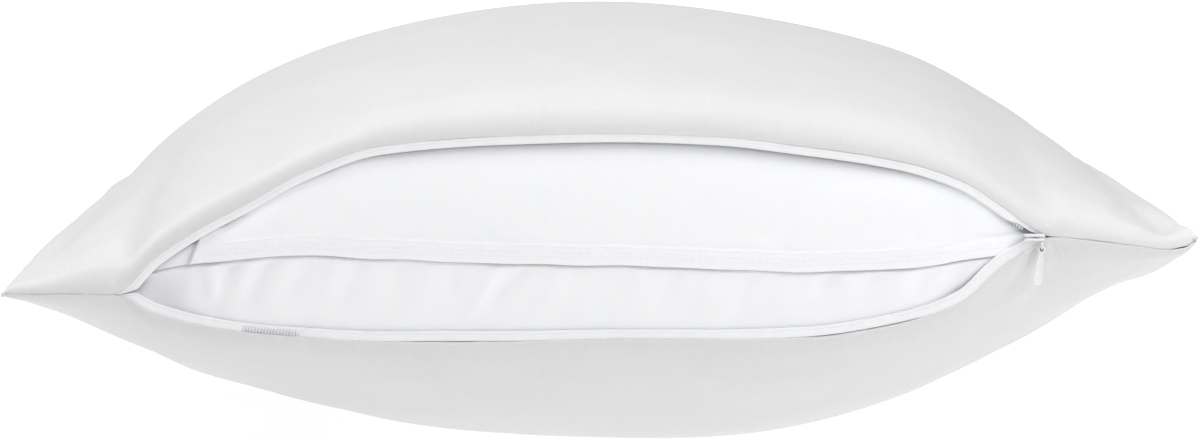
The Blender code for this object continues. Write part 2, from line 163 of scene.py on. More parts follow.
def new_material(name):
    made = bpy.data.materials.new(name)
    made.use_nodes = True
    tree = made.node_tree
    return made, tree, tree.nodes["Principled BSDF"]


def two_tones(tree, factor, first, second):
    """Colour between two hex values."""
    ramp = add_node(tree, "ShaderNodeValToRGB", {"Fac": factor})
    ramp.color_ramp.elements[0].color = srgb(first)
    ramp.color_ramp.elements[1].color = srgb(second)
    return ramp.outputs["Color"]


def ranged(tree, value, low, high):
    node = add_node(tree, "ShaderNodeMapRange", {"Value": value}, To_Min=low, To_Max=high)
    return node.outputs["Result"]


def maths(tree, operation, first, second):
    node = add_node(tree, "ShaderNodeMath", operation=operation)
    for socket, value in zip(node.inputs, (first, second)):
        if isinstance(value, (int, float)):
            socket.default_value = value
        else:
            tree.links.new(value, socket)
    return node.outputs[0]


def threads(tree, vector, spacing, direction, wander):
    """Parallel threads along one direction of the cloth, this far apart."""
    return add_node(
        tree, "ShaderNodeTexWave", {"Vector": vector}, wave_type="BANDS",
        bands_direction=direction, wave_profile="SIN", Scale=0.05 * 2 * math.pi / spacing,
        Distortion=wander, Detail=2.0, Detail_Scale=2.0,
    ).outputs["Fac"]


def cloth_lie(tree):
    """The cloth's own lie: its UV map, in metres of cloth."""
    return add_node(tree, "ShaderNodeUVMap", uv_map="cloth").outputs["UV"]


def blotches(tree, vector, size, detail=3.0):
    return add_node(
        tree, "ShaderNodeTexNoise", {"Vector": vector}, Scale=1 / size, Detail=detail,
        Roughness=0.55,
    ).outputs["Fac"]


def satin_material():
    """Polyester satin: long warp floats give a soft sheen with a fine broken grain."""
    made, tree, shader = new_material("white_satin")
    lie = cloth_lie(tree)
    floats = threads(tree, lie, 0.9 * MM, "X", 3.0)      # really 0.1 mm, drawn coarser to show
    picks = threads(tree, lie, 1.6 * MM, "Y", 5.0)       # weft, just felt through the floats
    cloud = blotches(tree, lie, 28 * MM)
    slub = blotches(tree, add_node(
        tree, "ShaderNodeMapping", {"Vector": lie}, Scale=(1, 0.16, 1)).outputs[0], 2.2 * MM)
    grain = maths(tree, "ADD", maths(tree, "MULTIPLY", floats, 0.55),
                  maths(tree, "MULTIPLY", picks, 0.25))
    grain = maths(tree, "ADD", grain, maths(tree, "MULTIPLY", slub, 0.9))
    # painted sheen: lighter and darker flecks in the colour stand for the broken sheen of the long
    # floats
    painted_sheen = blotches(tree, lie, 1.3 * MM, 2.0)           # broken sheen of the long floats
    tone = maths(tree, "ADD", maths(tree, "MULTIPLY", cloud, 0.35), maths(
        tree, "MULTIPLY", slub, 0.25))
    tone = maths(tree, "ADD", tone, maths(tree, "MULTIPLY", painted_sheen, 0.4))
    tree.links.new(two_tones(tree, tone, "#cbcbcb", "#dededf"), shader.inputs["Base Color"])
    tree.links.new(ranged(tree, slub, 0.46, 0.6), shader.inputs["Roughness"])
    shader.inputs["Sheen Weight"].default_value = 0.04
    shader.inputs["Sheen Roughness"].default_value = 0.35
    shader.inputs["Specular IOR Level"].default_value = 0.85
    shader.inputs["Anisotropic"].default_value = 0.45
    tangent = add_node(tree, "ShaderNodeTangent", direction_type="UV_MAP", uv_map="cloth")
    tree.links.new(tangent.outputs[0], shader.inputs["Tangent"])
    bump = add_node(tree, "ShaderNodeBump", {"Height": grain}, Strength=0.14, Distance=0.0002)
    tree.links.new(bump.outputs[0], shader.inputs["Normal"])
    return made


def plain_weave(name, low, high, spacing, roughness, depth):
    """Plain woven cloth: even over-and-under threads, matt and slightly uneven in tone."""
    made, tree, shader = new_material(name)
    lie = cloth_lie(tree)
    warp = threads(tree, lie, spacing, "X", 1.2)
    weft = threads(tree, lie, spacing, "Y", 1.2)
    weave = maths(tree, "MULTIPLY", warp, weft)
    cloud = blotches(tree, lie, 18 * MM)
    fluff = blotches(tree, lie, 1.4 * MM)
    tone = maths(tree, "ADD", maths(tree, "MULTIPLY", cloud, 0.5), maths(
        tree, "MULTIPLY", fluff, 0.5))
    height = maths(tree, "ADD", weave, maths(tree, "MULTIPLY", fluff, 0.8))
    tree.links.new(two_tones(tree, tone, low, high), shader.inputs["Base Color"])
    tree.links.new(ranged(tree, cloud, roughness - 0.05, roughness + 0.05),
                   shader.inputs["Roughness"])
    shader.inputs["Sheen Weight"].default_value = 0.2
    shader.inputs["Sheen Roughness"].default_value = 0.6
    bump = add_node(tree, "ShaderNodeBump", {"Height": height}, Strength=0.25, Distance=depth)
    tree.links.new(bump.outputs[0], shader.inputs["Normal"])
    return made


def cotton_material():
    """Bleached cotton cambric: matt, faintly blue-white, with a soft fluff."""
    return plain_weave("bleached_cotton", "#ecedee", "#f3f3f5", 0.7 * MM, 0.88, 0.00015)


def thread_material():
    """Polyester sewing thread: a twisted two-ply with a slight gloss."""
    made, tree, shader = new_material("sewing_thread")
    place = add_node(tree, "ShaderNodeTexCoord").outputs["Object"]
    twist = threads(tree, place, 0.35 * MM, "DIAGONAL", 0.5)
    tree.links.new(two_tones(tree, twist, "#e4e5e9", "#f6f6f8"), shader.inputs["Base Color"])
    shader.inputs["Roughness"].default_value = 0.6
    return made


def tape_material():
    """Woven polyester zip tape: fine ribs along its length, a little smoother than cotton."""
    made, tree, shader = new_material("polyester_tape")
    lie = cloth_lie(tree)
    ribs = threads(tree, lie, 0.55 * MM, "Y", 0.4)
    picks = threads(tree, lie, 0.8 * MM, "X", 0.8)
    height = maths(tree, "ADD", ribs, maths(tree, "MULTIPLY", picks, 0.5))
    cloud = blotches(tree, lie, 6 * MM)
    tree.links.new(two_tones(tree, cloud, "#e7e8ea", "#f1f1f3"), shader.inputs["Base Color"])
    shader.inputs["Roughness"].default_value = 0.6
    shader.inputs["Sheen Weight"].default_value = 0.1
    bump = add_node(tree, "ShaderNodeBump", {"Height": height}, Strength=0.35, Distance=0.0001)
    tree.links.new(bump.outputs[0], shader.inputs["Normal"])
    return made


def nylon_material():
    """Drawn nylon monofilament: milky, slightly see-through and smooth."""
    made, tree, shader = new_material("nylon_filament")
    place = add_node(tree, "ShaderNodeTexCoord").outputs["Object"]
    milk = blotches(tree, place, 3 * MM)
    tree.links.new(two_tones(tree, milk, "#e7e8ea", "#f4f5f7"), shader.inputs["Base Color"])
    tree.links.new(ranged(tree, milk, 0.26, 0.4), shader.inputs["Roughness"])
    shader.inputs["IOR"].default_value = 1.53
    shader.inputs["Subsurface Weight"].default_value = 0.15
    shader.inputs["Subsurface Radius"].default_value = (0.0006, 0.0006, 0.0006)
    return made


def enamel_material():
    """White stoving enamel on zinc: a smooth skin with a faint orange peel and handling marks."""
    made, tree, shader = new_material("white_enamel")
    place = add_node(tree, "ShaderNodeTexCoord").outputs["Object"]
    peel = blotches(tree, place, 0.5 * MM)
    marks = blotches(tree, place, 2.5 * MM, 6.0)
    tree.links.new(two_tones(tree, marks, "#d9dadd", "#eeeeef"), shader.inputs["Base Color"])
    tree.links.new(ranged(tree, marks, 0.22, 0.42), shader.inputs["Roughness"])
    shader.inputs["Coat Weight"].default_value = 0.35
    shader.inputs["Coat Roughness"].default_value = 0.12
    bump = add_node(tree, "ShaderNodeBump", {"Height": peel}, Strength=0.2, Distance=0.00005)
    tree.links.new(bump.outputs[0], shader.inputs["Normal"])
    return made


def shade_pin_material():
    """Near-black zinc for the pin in the pull's eye, painted shade for the shadow in the eye's hole:
    a dull sheen that breaks up over the cast skin.
    """
    made, tree, shader = new_material("painted_shade_zinc")
    place = add_node(tree, "ShaderNodeTexCoord").outputs["Object"]
    skin = blotches(tree, place, 0.4 * MM)
    # painted shade: near black with slightly lighter spots
    tree.links.new(two_tones(tree, skin, "#161618", "#26262a"), shader.inputs["Base Color"])
    shader.inputs["Metallic"].default_value = 0.3
    shader.inputs["Roughness"].default_value = 0.55
    return made


WHITE_SATIN = satin_material()
SHADE_PIN_ZINC = shade_pin_material()
BLEACHED_COTTON = cotton_material()
SEWING_THREAD = thread_material()
POLYESTER_TAPE = tape_material()
NYLON = nylon_material()
WHITE_ENAMEL = enamel_material()


# ---------------------------------------------------------------- making meshes
def ease(t):
    t = np.clip(t, 0, 1)
    return t * t * (3 - 2 * t)


def grid_faces(rows, columns, closed=False):
    """Quads of a grid of points; a closed grid joins its last column to its first."""
    i = np.arange(rows - 1)[:, None]
    j = np.arange(columns if closed else columns - 1)[None, :]
    k = (j + 1) % columns
    corners = [i * columns + j, (i + 1) * columns + j, (i + 1) * columns + k, i * columns + k]
    return np.stack([np.broadcast_to(c, (rows - 1, j.shape[1])) for c in corners], -1).reshape(-1, 4)


def arc_lengths(points, axis):
    """Length along one direction of a grid of points, from its middle line."""
    steps = np.linalg.norm(np.diff(points, axis=axis), axis=-1)
    start = np.zeros_like(np.take(steps, [0], axis=axis))
    run = np.concatenate([start, np.cumsum(steps, axis=axis)], axis=axis)
    return run - np.take(run, [run.shape[axis] // 2], axis=axis)


def make_piece(name, points, faces, surface, lie=None):
    """A smooth mesh piece that rides on the body; lie gives each point's place on the cloth."""
    mesh = bpy.data.meshes.new(name)
    mesh.from_pydata(points.reshape(-1, 3).tolist(), [], [list(f) for f in faces])
    if lie is not None:
        flat = lie.reshape(-1, 2)
        layer = mesh.uv_layers.new(name="cloth")
        corners = np.zeros(len(mesh.loops), np.int32)
        mesh.loops.foreach_get("vertex_index", corners)
        layer.data.foreach_set("uv", flat[corners].astype(np.float32).ravel())
    mesh.shade_smooth()
    piece = bpy.data.objects.new(name, mesh)
    bpy.context.scene.collection.objects.link(piece)
    mesh.materials.append(surface)
    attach(piece, "root")
    return piece


def apply_solidify(piece, thickness, offset):
    """Give a cloth its thickness."""
    wall = piece.modifiers.new("cloth_thickness", "SOLIDIFY")
    wall.thickness = thickness
    wall.offset = offset
    wall.use_even_offset = False
    with bpy.context.temp_override(object=piece, active_object=piece, selected_objects=[piece]):
        bpy.ops.object.modifier_apply(modifier=wall.name)
    piece.data.shade_smooth()


# ---------------------------------------------------------------- shape of the cover
def smooth_through(rows, column, x):
    """Value at x of a column of rows: a smooth curve that never overshoots them."""
    xs = rows[:, 0]
    ys = rows[:, column]
    step = np.diff(xs)
    slope = np.diff(ys) / step
    before, after = slope[:-1], slope[1:]
    turns = before * after <= 0
    weight_a = 2 * step[1:] + step[:-1]
    weight_b = step[1:] + 2 * step[:-1]
    safe_before = np.where(turns, 1, before)
    safe_after = np.where(turns, 1, after)
    blend = (weight_a + weight_b) / (weight_a / safe_before + weight_b / safe_after)
    tangent = np.concatenate([slope[:1], np.where(turns, 0, blend), slope[-1:]])
    row = np.clip(np.searchsorted(xs, x) - 1, 0, len(xs) - 2)
    t = (x - xs[row]) / step[row]
    return (
        (2 * t**3 - 3 * t**2 + 1) * ys[row]
        + (t**3 - 2 * t**2 + t) * step[row] * tangent[row]
        + (3 * t**2 - 2 * t**3) * ys[row + 1]
        + (t**3 - t**2) * step[row] * tangent[row + 1]
    )


def front_height(column, x):
    """Height along the front edge."""
    return smooth_through(FRONT_EDGE, column, x)


def parting_height(u, v):
    """Height between the panels, bent from the middle to the seams and corners."""
    side = np.abs(u) ** FLEX
    edge = np.abs(v) ** FLEX
    column = np.where(u < 0, 0, 2)
    row = np.where(v < 0, 0, 2)
    return (
        PARTING[1, 1] * (1 - side) * (1 - edge)
        + PARTING[1, column] * side * (1 - edge)
        + PARTING[row, 1] * (1 - side) * edge
        + PARTING[row, column] * side * edge
    )


def swell(u, up):
    """Share of the crown at one place across."""
    shift = PEAK_SHIFT_UP if up else PEAK_SHIFT_DOWN
    fullness = smooth_through(FULLNESS, UPPER if up else LOWER, u)
    return np.clip(1 - (u + shift * (1 - u**2)) ** 2, 0, 1) ** fullness


def rise(v, up):
    """Share of the crown reached between the front or back edge and the middle."""
    front = FULLNESS_FRONT if up else FULLNESS_BACK_DOWN
    back = FULLNESS_BACK_UP if up else FULLNESS_BACK_DOWN
    return np.clip(1 - v**2, 0, 1) ** np.where(v < 0, front, back)


def front_line(x):
    """Y of the cover's front edge."""
    return -(CORNER_Y - FRONT_DRAW * (1 - (x / CORNER_X) ** 2))


def mouth_share(x):
    """1 where the mouth stands open, 0 where the seam is closed."""
    return ease((x - MOUTH[0]) / (9 * MM)) * ease((MOUTH[1] - x) / (7 * MM))


def cover_face(across, back, up):
    """Outer face of a panel; both angles run from -90 to 90 degrees."""
    u, v = np.broadcast_arrays(np.sin(across), np.sin(back))
    x = u * (CORNER_X - SIDE_DRAW * (1 - v**2))
    draw = np.where(v < 0, FRONT_DRAW, BACK_DRAW)
    y = v * (CORNER_Y - draw * (1 - u**2))
    edge = front_height(UPPER if up else LOWER, u * CORNER_X)
    sign = 1 if up else -1
    edge = edge + sign * (ROLL_UP if up else ROLL_DOWN) * mouth_share(u * CORNER_X)
    opened = np.where(v < 0, edge - parting_height(u, -np.ones_like(v)), 0)
    crown = sign * (CROWN_UP if up else CROWN_DOWN) * swell(u, up)
    z = parting_height(u, v) + opened + (crown - opened) * rise(v, up) + sign * SEAM_HALF
    return np.stack([x, y, z], axis=-1)


# ---------------------------------------------------------------- the two satin panels
ROLL = 0.6 * MM            # radius of the satin's turn into a seam
ROLL_UP = 0.1 * MM         # how much further the turn reaches along the mouth
ROLL_DOWN = 0.6 * MM
ROLL_STEPS = 6

# Right front corner, folded up into a blunt ear: place, its two widths and its lift
EAR = (209.8 * MM, -202.0 * MM, 4.6 * MM, 5.6 * MM, 2.8 * MM)

# Soft troughs that run from the corners: corner, degrees from the front or back edge,
# length, width, depth
CORNER_FOLDS = [
    # x, y, angle, length, width, depth
    (-1, -1, 62, 120, 9.0, 0.9),
    (-1, -1, 38, 90, 6.0, 0.6),
    (1, -1, 30, 66, 5.5, 1.6),
    (1, -1, 55, 130, 10.0, 1.1),
    (1, -1, 74, 90, 7.0, 0.8),
    (1, 1, 24, 100, 7.0, 1.3),
    (1, 1, 44, 150, 12.0, 1.6),
    (1, 1, 66, 95, 7.0, 1.2),
    (-1, 1, 20, 85, 6.0, 1.1),
    (-1, 1, 40, 140, 11.0, 1.7),
    (-1, 1, 63, 110, 8.0, 1.2),
]


def corner_folds(face, up):
    """Depth of the long soft folds that the pull of the filling draws from the corners."""
    total = np.zeros(face.shape[:2])
    for side, end, angle, length, width, depth in CORNER_FOLDS:
        lean = math.radians(angle + (0 if up else 5))
        along = np.array([-side * math.cos(lean), -end * math.sin(lean)])
        corner = np.array([side * CORNER_X, end * CORNER_Y])
        reach = (face[..., :2] - corner) @ along
        off = (face[..., :2] - corner) @ np.array([-along[1], along[0]])
        spread = width * MM * (0.35 + reach / (length * MM))
        shape = np.exp(-(off / np.maximum(spread, 0.5 * MM)) ** 2)
        fade = ease(reach / (18 * MM)) * ease(1 - reach / (length * MM))
        total -= depth * MM * shape * fade
    return total


def seam_tucks(across, back, up):
    """Depth of the small uneven tucks that run in from the sewn edges."""
    total = np.zeros((len(across), len(back)))
    x = CORNER_X * np.sin(across)[:, None]
    y = CORNER_Y * np.sin(back)[None, :]
    from_front = CORNER_Y * (back + QUARTER)[None, :]
    from_back = CORNER_Y * (QUARTER - back)[None, :]
    from_left = CORNER_X * (across + QUARTER)[:, None]
    from_right = CORNER_X * (QUARTER - across)[:, None]
    seams = [
        # along, inwards, number, depth
        (y, from_left, 34, 0.5),
        (y, from_right, 34, 0.5),
        (x, from_back, 36, 0.55),
        (x, from_front, 30, 0.1),
    ]
    for along, inwards, number, depth in seams:
        places = np.linspace(-0.94, 0.94, number) * CORNER_Y
        places = places + rng.normal(0, 3.5 * MM, number)
        for place in places:
            width = rng.uniform(1.6, 4.2) * MM
            length = rng.uniform(7, 30) * MM
            tuck = depth * MM * rng.uniform(0.2, 1.0)
            lean = rng.normal(0, 0.25)
            centre = place + lean * inwards
            spread = width * (1 + inwards / (25 * MM))
            shape = np.exp(-((along - centre) / spread) ** 2)
            total -= tuck * shape * np.exp(-inwards / length) * ease(inwards / (1.5 * MM))
    return total


def slack_waves(face):
    """Slow unevenness of the filling under the satin."""
    x, y = face[..., 0] / MM, face[..., 1] / MM
    total = 0.0
    for wave, lean, phase, height in (
        (150, 25, 0.4, 0.35), (97, -40, 2.1, 0.3), (64, 70, 4.0, 0.25), (118, 100, 1.2, 0.25),
    ):
        turn = math.radians(lean)
        total = total + height * MM * np.sin(
            2 * math.pi * (x * math.cos(turn) + y * math.sin(turn)) / wave + phase)
    inside = ease((1 - np.abs(x) / 214) * 5) * ease((1 - np.abs(y) / 208) * 5)
    return total * inside


# Creases in the front of the panels: from x, z to x, z, then widths at both ends and depth,
# all in mm.  A negative depth is a ridge.
LOWER_CREASES = [
    # x0,   z0,    x1,    z1,   w0,  w1,  depth
    (156.2, 80.2, 152.8, 67.0, 0.8, 1.6, 1.7),
    (153.5, 78.5, 148.5, 66.5, 1.2, 2.6, 0.6),
    (160.2, 81.5, 160.8, 72.5, 0.7, 1.6, -0.35),
    (162.2, 82.7, 165.0, 75.5, 0.7, 1.5, 0.5),
    (164.5, 82.5, 169.0, 74.5, 0.8, 1.8, 0.35),
    (148.0, 72.5, 138.0, 56.5, 2.5, 5.0, -0.5),
    (174.0, 81.5, 184.0, 68.5, 1.2, 3.5, 0.3),
    (-170.0, 61.5, -166.0, 48.5, 1.5, 4.0, 0.35),
    (-186.0, 62.0, -176.0, 47.0, 2.0, 5.0, 0.4),
]
UPPER_CREASES = [
    (180.0, 92.5, 204.0, 83.6, 1.8, 1.4, -0.9),
    (186.0, 95.5, 209.0, 86.6, 2.6, 2.0, 1.4),
    (196.0, 99.0, 211.0, 89.0, 2.0, 1.6, -0.5),
    (161.0, 88.5, 166.0, 97.0, 0.8, 2.2, 0.5),
    (168.0, 85.5, 176.0, 95.0, 1.2, 3.0, 0.35),
    (-172.0, 66.5, -178.0, 78.0, 1.2, 3.4, 0.4),
]


def crease(x, z, row):
    x0, z0, x1, z1, w0, w1, depth = (value * MM for value in row)
    run, drop = x1 - x0, z1 - z0
    length = math.hypot(run, drop)
    along = ((x - x0) * run + (z - z0) * drop) / length
    off = ((x - x0) * drop - (z - z0) * run) / length
    share = np.clip(along / length, 0, 1)
    width = w0 + (w1 - w0) * share
    fade = ease(along / (2 * MM) + 0.5) * ease((length * 1.25 - along) / (0.6 * length))
    return -depth * np.exp(-(off / width) ** 2) * fade


def surface_normals(points, up):
    """Outward normals of a grid of points."""
    along = np.gradient(points, axis=0)
    deep = np.gradient(points, axis=1)
    normal = np.cross(along, deep) * (1 if up else -1)
    return normal / np.maximum(np.linalg.norm(normal, axis=-1, keepdims=True), 1e-12)


def spread_angles(cells, closer):
    """Angles from -90 to 90 degrees, closer together in the middle."""
    t = np.linspace(-1, 1, cells + 1)
    return QUARTER * (t - closer * np.sin(math.pi * t))


def refined(angles, radius, low, high, step):
    """The same angles with extra ones between two places, no further apart than step."""
    extra = np.arcsin(np.arange(low, high, step) / radius)
    kept = angles[(angles < extra[0] - 0.002) | (angles > extra[-1] + 0.002)]
    return np.sort(np.concatenate([kept, extra]))


PANEL_ACROSS = refined(
    refined(spread_angles(150, 0.14), CORNER_X, -178 * MM, -162 * MM, 1.2 * MM),
    CORNER_X, 148 * MM, 172 * MM, 0.8 * MM,
)
PANEL_BACK = np.concatenate([
    -QUARTER + np.linspace(0, 0.2, 22), spread_angles(140, 0.12)[12:],
])


def satin_panel(name, up):
    """One satin panel, turned in along all four edges."""
    across, back = PANEL_ACROSS, np.unique(PANEL_BACK)
    face = cover_face(across[:, None], back[None, :], up)
    normal = surface_normals(face, up)
    relief = corner_folds(face, up) + seam_tucks(across, back, up) + slack_waves(face)
    front = ease((-face[..., 1] - 165 * MM) / (14 * MM))
    for row in UPPER_CREASES if up else LOWER_CREASES:
        relief = relief + front * crease(face[..., 0], face[..., 2], row)
    hold = ease((back + QUARTER)[None, :] * CORNER_Y / (3 * MM))
    face = face + normal * (relief * hold)[..., None]
    ear = ((face[..., 0] - EAR[0]) / EAR[2]) ** 2 + ((face[..., 1] - EAR[1]) / EAR[3]) ** 2
    from_side = (QUARTER - across)[:, None] * CORNER_X
    face[..., 2] += EAR[4] * np.exp(-ear) * (1 if up else ease(1 - from_side / (5 * MM)))
    face[..., 2] = np.maximum(face[..., 2], 0)
    normal = surface_normals(face, up)

    rows, columns = face.shape[:2]
    edge = (
        [(i, 0) for i in range(rows)] + [(rows - 1, j) for j in range(1, columns)]
        + [(i, columns - 1) for i in range(rows - 2, -1, -1)]
        + [(0, j) for j in range(columns - 2, 0, -1)]
    )
    i, j = np.array(edge).T
    inner_i, inner_j = np.clip(i, 1, rows - 2), np.clip(j, 1, columns - 2)
    rim, out = face[i, j], face[i, j] - face[inner_i, inner_j]
    out = out / np.linalg.norm(out, axis=-1, keepdims=True)
    away = normal[i, j]
    along_front = (j == 0)[:, None]
    extra = (ROLL_UP if up else ROLL_DOWN) * mouth_share(rim[:, :1]) * along_front
    rings = []
    for turn in np.linspace(0, math.pi, ROLL_STEPS + 1)[1:]:
        rings.append(
            rim - away * ROLL * (1 - math.cos(turn)) + out * (ROLL + extra) * math.sin(turn))
    for inset in (1, 2, 3):
        ni, nj = np.clip(i, inset, rows - 1 - inset), np.clip(j, inset, columns - 1 - inset)
        rings.append(face[ni, nj] - 2 * ROLL * normal[ni, nj])
    rings = np.array(rings)

    faces = grid_faces(rows, columns)
    count = len(edge)
    loops = np.vstack([(i * columns + j)[None, :],
                       rows * columns + np.arange(len(rings) * count).reshape(len(rings), count)])
    nxt = np.roll(loops, -1, axis=1)
    hem = np.stack([loops[:-1], loops[1:], nxt[1:], nxt[:-1]], -1).reshape(-1, 4)
    faces = np.vstack([faces, hem])
    if not up:
        faces = faces[:, ::-1]
    lie = np.stack([arc_lengths(face, 0), arc_lengths(face, 1)], -1)
    rim_lie = lie[i, j]
    hem_lie = np.repeat(rim_lie[None], len(rings), axis=0) + 0.001
    points = np.vstack([face.reshape(-1, 3), rings.reshape(-1, 3)])
    lies = np.vstack([lie.reshape(-1, 2), hem_lie.reshape(-1, 2)])
    piece = make_piece(name, points, faces, WHITE_SATIN, lies)
    apply_solidify(piece, SATIN, -1)
    return piece


top_panel = satin_panel("satin_top_panel", True)
bottom_panel = satin_panel("satin_bottom_panel", False)
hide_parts("cover_top_panel")
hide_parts("cover_bottom_panel")


# ---------------------------------------------------------------- zip tapes and coils
TAPE_THICK = 0.3 * MM
TAPE_REST = 1.05           # depth of the tape behind the satin's face, in mm
COIL_OUT = 1.5 * MM
COIL_DEPTH = 1.6 * MM
BARE_DEPTH = 0.9 * MM       # of the coil where the fold stands open
COIL_WIDE = 1.25 * MM      # half its width, wire included
COIL_DEEP = 0.6 * MM       # half its depth
FILAMENT = 0.26 * MM
COIL_PITCH = 1.12 * MM
COIL_STEPS = 12            # sections in one turn
BARE_COIL = (-131 * MM, -105 * MM)   # where the lower fold stands open over the coil
TAPE_ENDS = (-174 * MM, 160.5 * MM)
COIL_ENDS = (-168 * MM, 153 * MM)

# Section of a tape in mm: how far into the mouth, depth behind the satin's face, and how
# much of that depth comes from the fold over the coil
UPPER_SECTION = [
    (-2.6, 2.1, 0.0), (-1.5, 1.8, 0.0), (-0.4, 1.5, 0.0), (-0.14, 1.2, 0.2), (-0.1, 0.8, 0.4),
    (-0.09, 0.42, 0.5), (-0.04, 0.28, 0.6), (0.3, 0.2, 0.8), (0.8, 0.2, 1.0), (0.95, 0.26, 1.0),
    (1.02, 0.36, 1.0), (1.1, 0.26, 1.0), (1.3, 0.2, 1.0), (1.7, 0.18, 1.0), (2.1, 0.2, 1.0),
    (2.5, 0.3, 1.0), (2.75, 0.48, 1.0), (2.92, 0.8, 0.9), (2.98, 1.3, 0.4), (2.9, 1.7, 0.2),
    (2.5, 2.1, 0.0), (1.6, 2.4, 0.0),
]
LOWER_SECTION = [
    (-2.6, 2.1, 0.0), (-1.5, 1.8, 0.0), (-0.4, 1.5, 0.0), (-0.14, 1.2, 0.2), (-0.1, 0.8, 0.4),
    (-0.09, 0.45, 0.5), (0.0, 0.3, 0.8), (0.4, 0.22, 1.0), (1.0, 0.2, 1.0), (1.6, 0.2, 1.0),
    (2.0, 0.26, 1.0), (2.2, 0.36, 0.9), (2.3, 0.44, 0.7), (2.4, 0.36, 0.6), (2.7, 0.3, 0.5),
    (3.1, 0.32, 0.4), (3.4, 0.46, 0.4), (3.56, 0.86, 0.3), (3.52, 1.4, 0.1), (3.2, 1.9, 0.0),
    (2.2, 2.4, 0.0),
]
TAPE_SHOWS = 3.3 * MM


def mouth_edge(x, up):
    """Points along a panel's front edge, and the direction from there into the mouth."""
    column = UPPER if up else LOWER
    z = front_height(column, x)
    point = np.stack([x, front_line(x), z], -1)
    step = 0.5 * MM
    slope = (front_height(column, x + step) - front_height(column, x - step)) / (2 * step)
    sign = -1 if up else 1
    into = np.stack([-slope, np.zeros_like(x), np.ones_like(x)], -1) * sign
    into = into / np.linalg.norm(into, axis=-1, keepdims=True)
    return point - into * (SEAM_HALF - ROLL - 0.03 * MM), into


def roll_front(x, up):
    """How far the satin's turned rim stands in front of its edge, less than 0 for forward."""
    face = cover_face(PANEL_ACROSS[:, None], PANEL_BACK[None, :6], up)
    out = face[:, 0] - face[:, 1]
    out = out / np.linalg.norm(out, axis=-1, keepdims=True)
    away = surface_normals(face, up)[:, 0]
    wide = ROLL + (ROLL_UP if up else ROLL_DOWN) * mouth_share(face[:, 0, 0])
    front = -away[:, 1] * ROLL - np.hypot(wide * out[:, 1], ROLL * away[:, 1])
    return np.interp(x, face[:, 0, 0], np.where(out[:, 1] < 0, front, 0))


def half_mouth(x):
    return (front_height(UPPER, x) - front_height(LOWER, x)) / 2


def tape_room(x):
    """Share of a tape's full width that has room in the narrowing ends of the mouth."""
    return np.clip(half_mouth(x) * 1.02 / TAPE_SHOWS, 0.05, 1)


def bare_share(x):
    """1 where the lower tape's fold stands open and shows the coil."""
    return ease((x - BARE_COIL[0]) / (3 * MM)) * ease((BARE_COIL[1] - x) / (5 * MM))


def tape_end(x, up):
    """The upper tape draws in just before the slider."""
    return 1 - 0.55 * ease((x - 147 * MM) / (5 * MM)) if up else np.ones_like(x)


def zip_tape(name, up):
    """Woven tape: sewn behind the satin, folded forward over the coil, its edge in the mouth."""
    x = np.arange(*TAPE_ENDS, 0.8 * MM)
    edge, into = mouth_edge(x, up)
    room = tape_room(x) * tape_end(x, up)
    bare = bare_share(x)
    folded = room if up else room * (1 - bare)
    forward = roll_front(x, up) / MM
    # where the edge climbs to the slider the lower tape starts further under the satin
    under = 0.6 * MM * ease((x - 112 * MM) / (14 * MM)) * ease((159 * MM - x) / (5 * MM))
    under = under * (0 if up else 1)
    rows = []
    for reach, depth, fold in UPPER_SECTION if up else LOWER_SECTION:
        shown = reach * MM * (room if reach > 0 else np.ones_like(x))
        shown = shown - (under if -0.12 < reach < 0.02 else 0)
        back = depth + fold * (1 - folded) * (TAPE_REST - depth)
        back = back + forward * np.clip((1.3 - depth) / 0.7, 0, 1)
        waver = 0.06 * np.sin(x / (7 * MM)) * np.sin(x / (19 * MM) + 2)
        rows.append(edge + into * shown[:, None] + np.stack([0 * x, (back + waver) * MM, 0 * x], -1))
    points = np.stack(rows, 1)
    lie = np.stack([arc_lengths(points, 0), arc_lengths(points, 1)], -1)
    faces = grid_faces(*points.shape[:2])
    piece = make_piece(name, points, faces[:, ::-1] if up else faces,
                       POLYESTER_TAPE, lie)
    apply_solidify(piece, TAPE_THICK, -1)
    return piece


def tube(points, radius, sides, out):
    """Tube round a line of points; out is a direction across the line at each point."""
    ahead = np.gradient(points, axis=0)
    ahead = ahead / np.linalg.norm(ahead, axis=-1, keepdims=True)
    side = np.cross(ahead, out)
    side = side / np.linalg.norm(side, axis=-1, keepdims=True)
    other = np.cross(side, ahead)
    turn = np.linspace(0, 2 * math.pi, sides, endpoint=False)
    radius = np.broadcast_to(radius, len(points))[:, None, None]
    return points[:, None] + radius * (
        np.cos(turn)[None, :, None] * other[:, None] + np.sin(turn)[None, :, None] * side[:, None])


def closed_tube_faces(count, sides):
    quads = [list(f)[::-1] for f in grid_faces(count, sides, closed=True)]
    last = (count - 1) * sides
    return quads + [list(range(sides))[::-1], [last + k for k in range(sides)]]


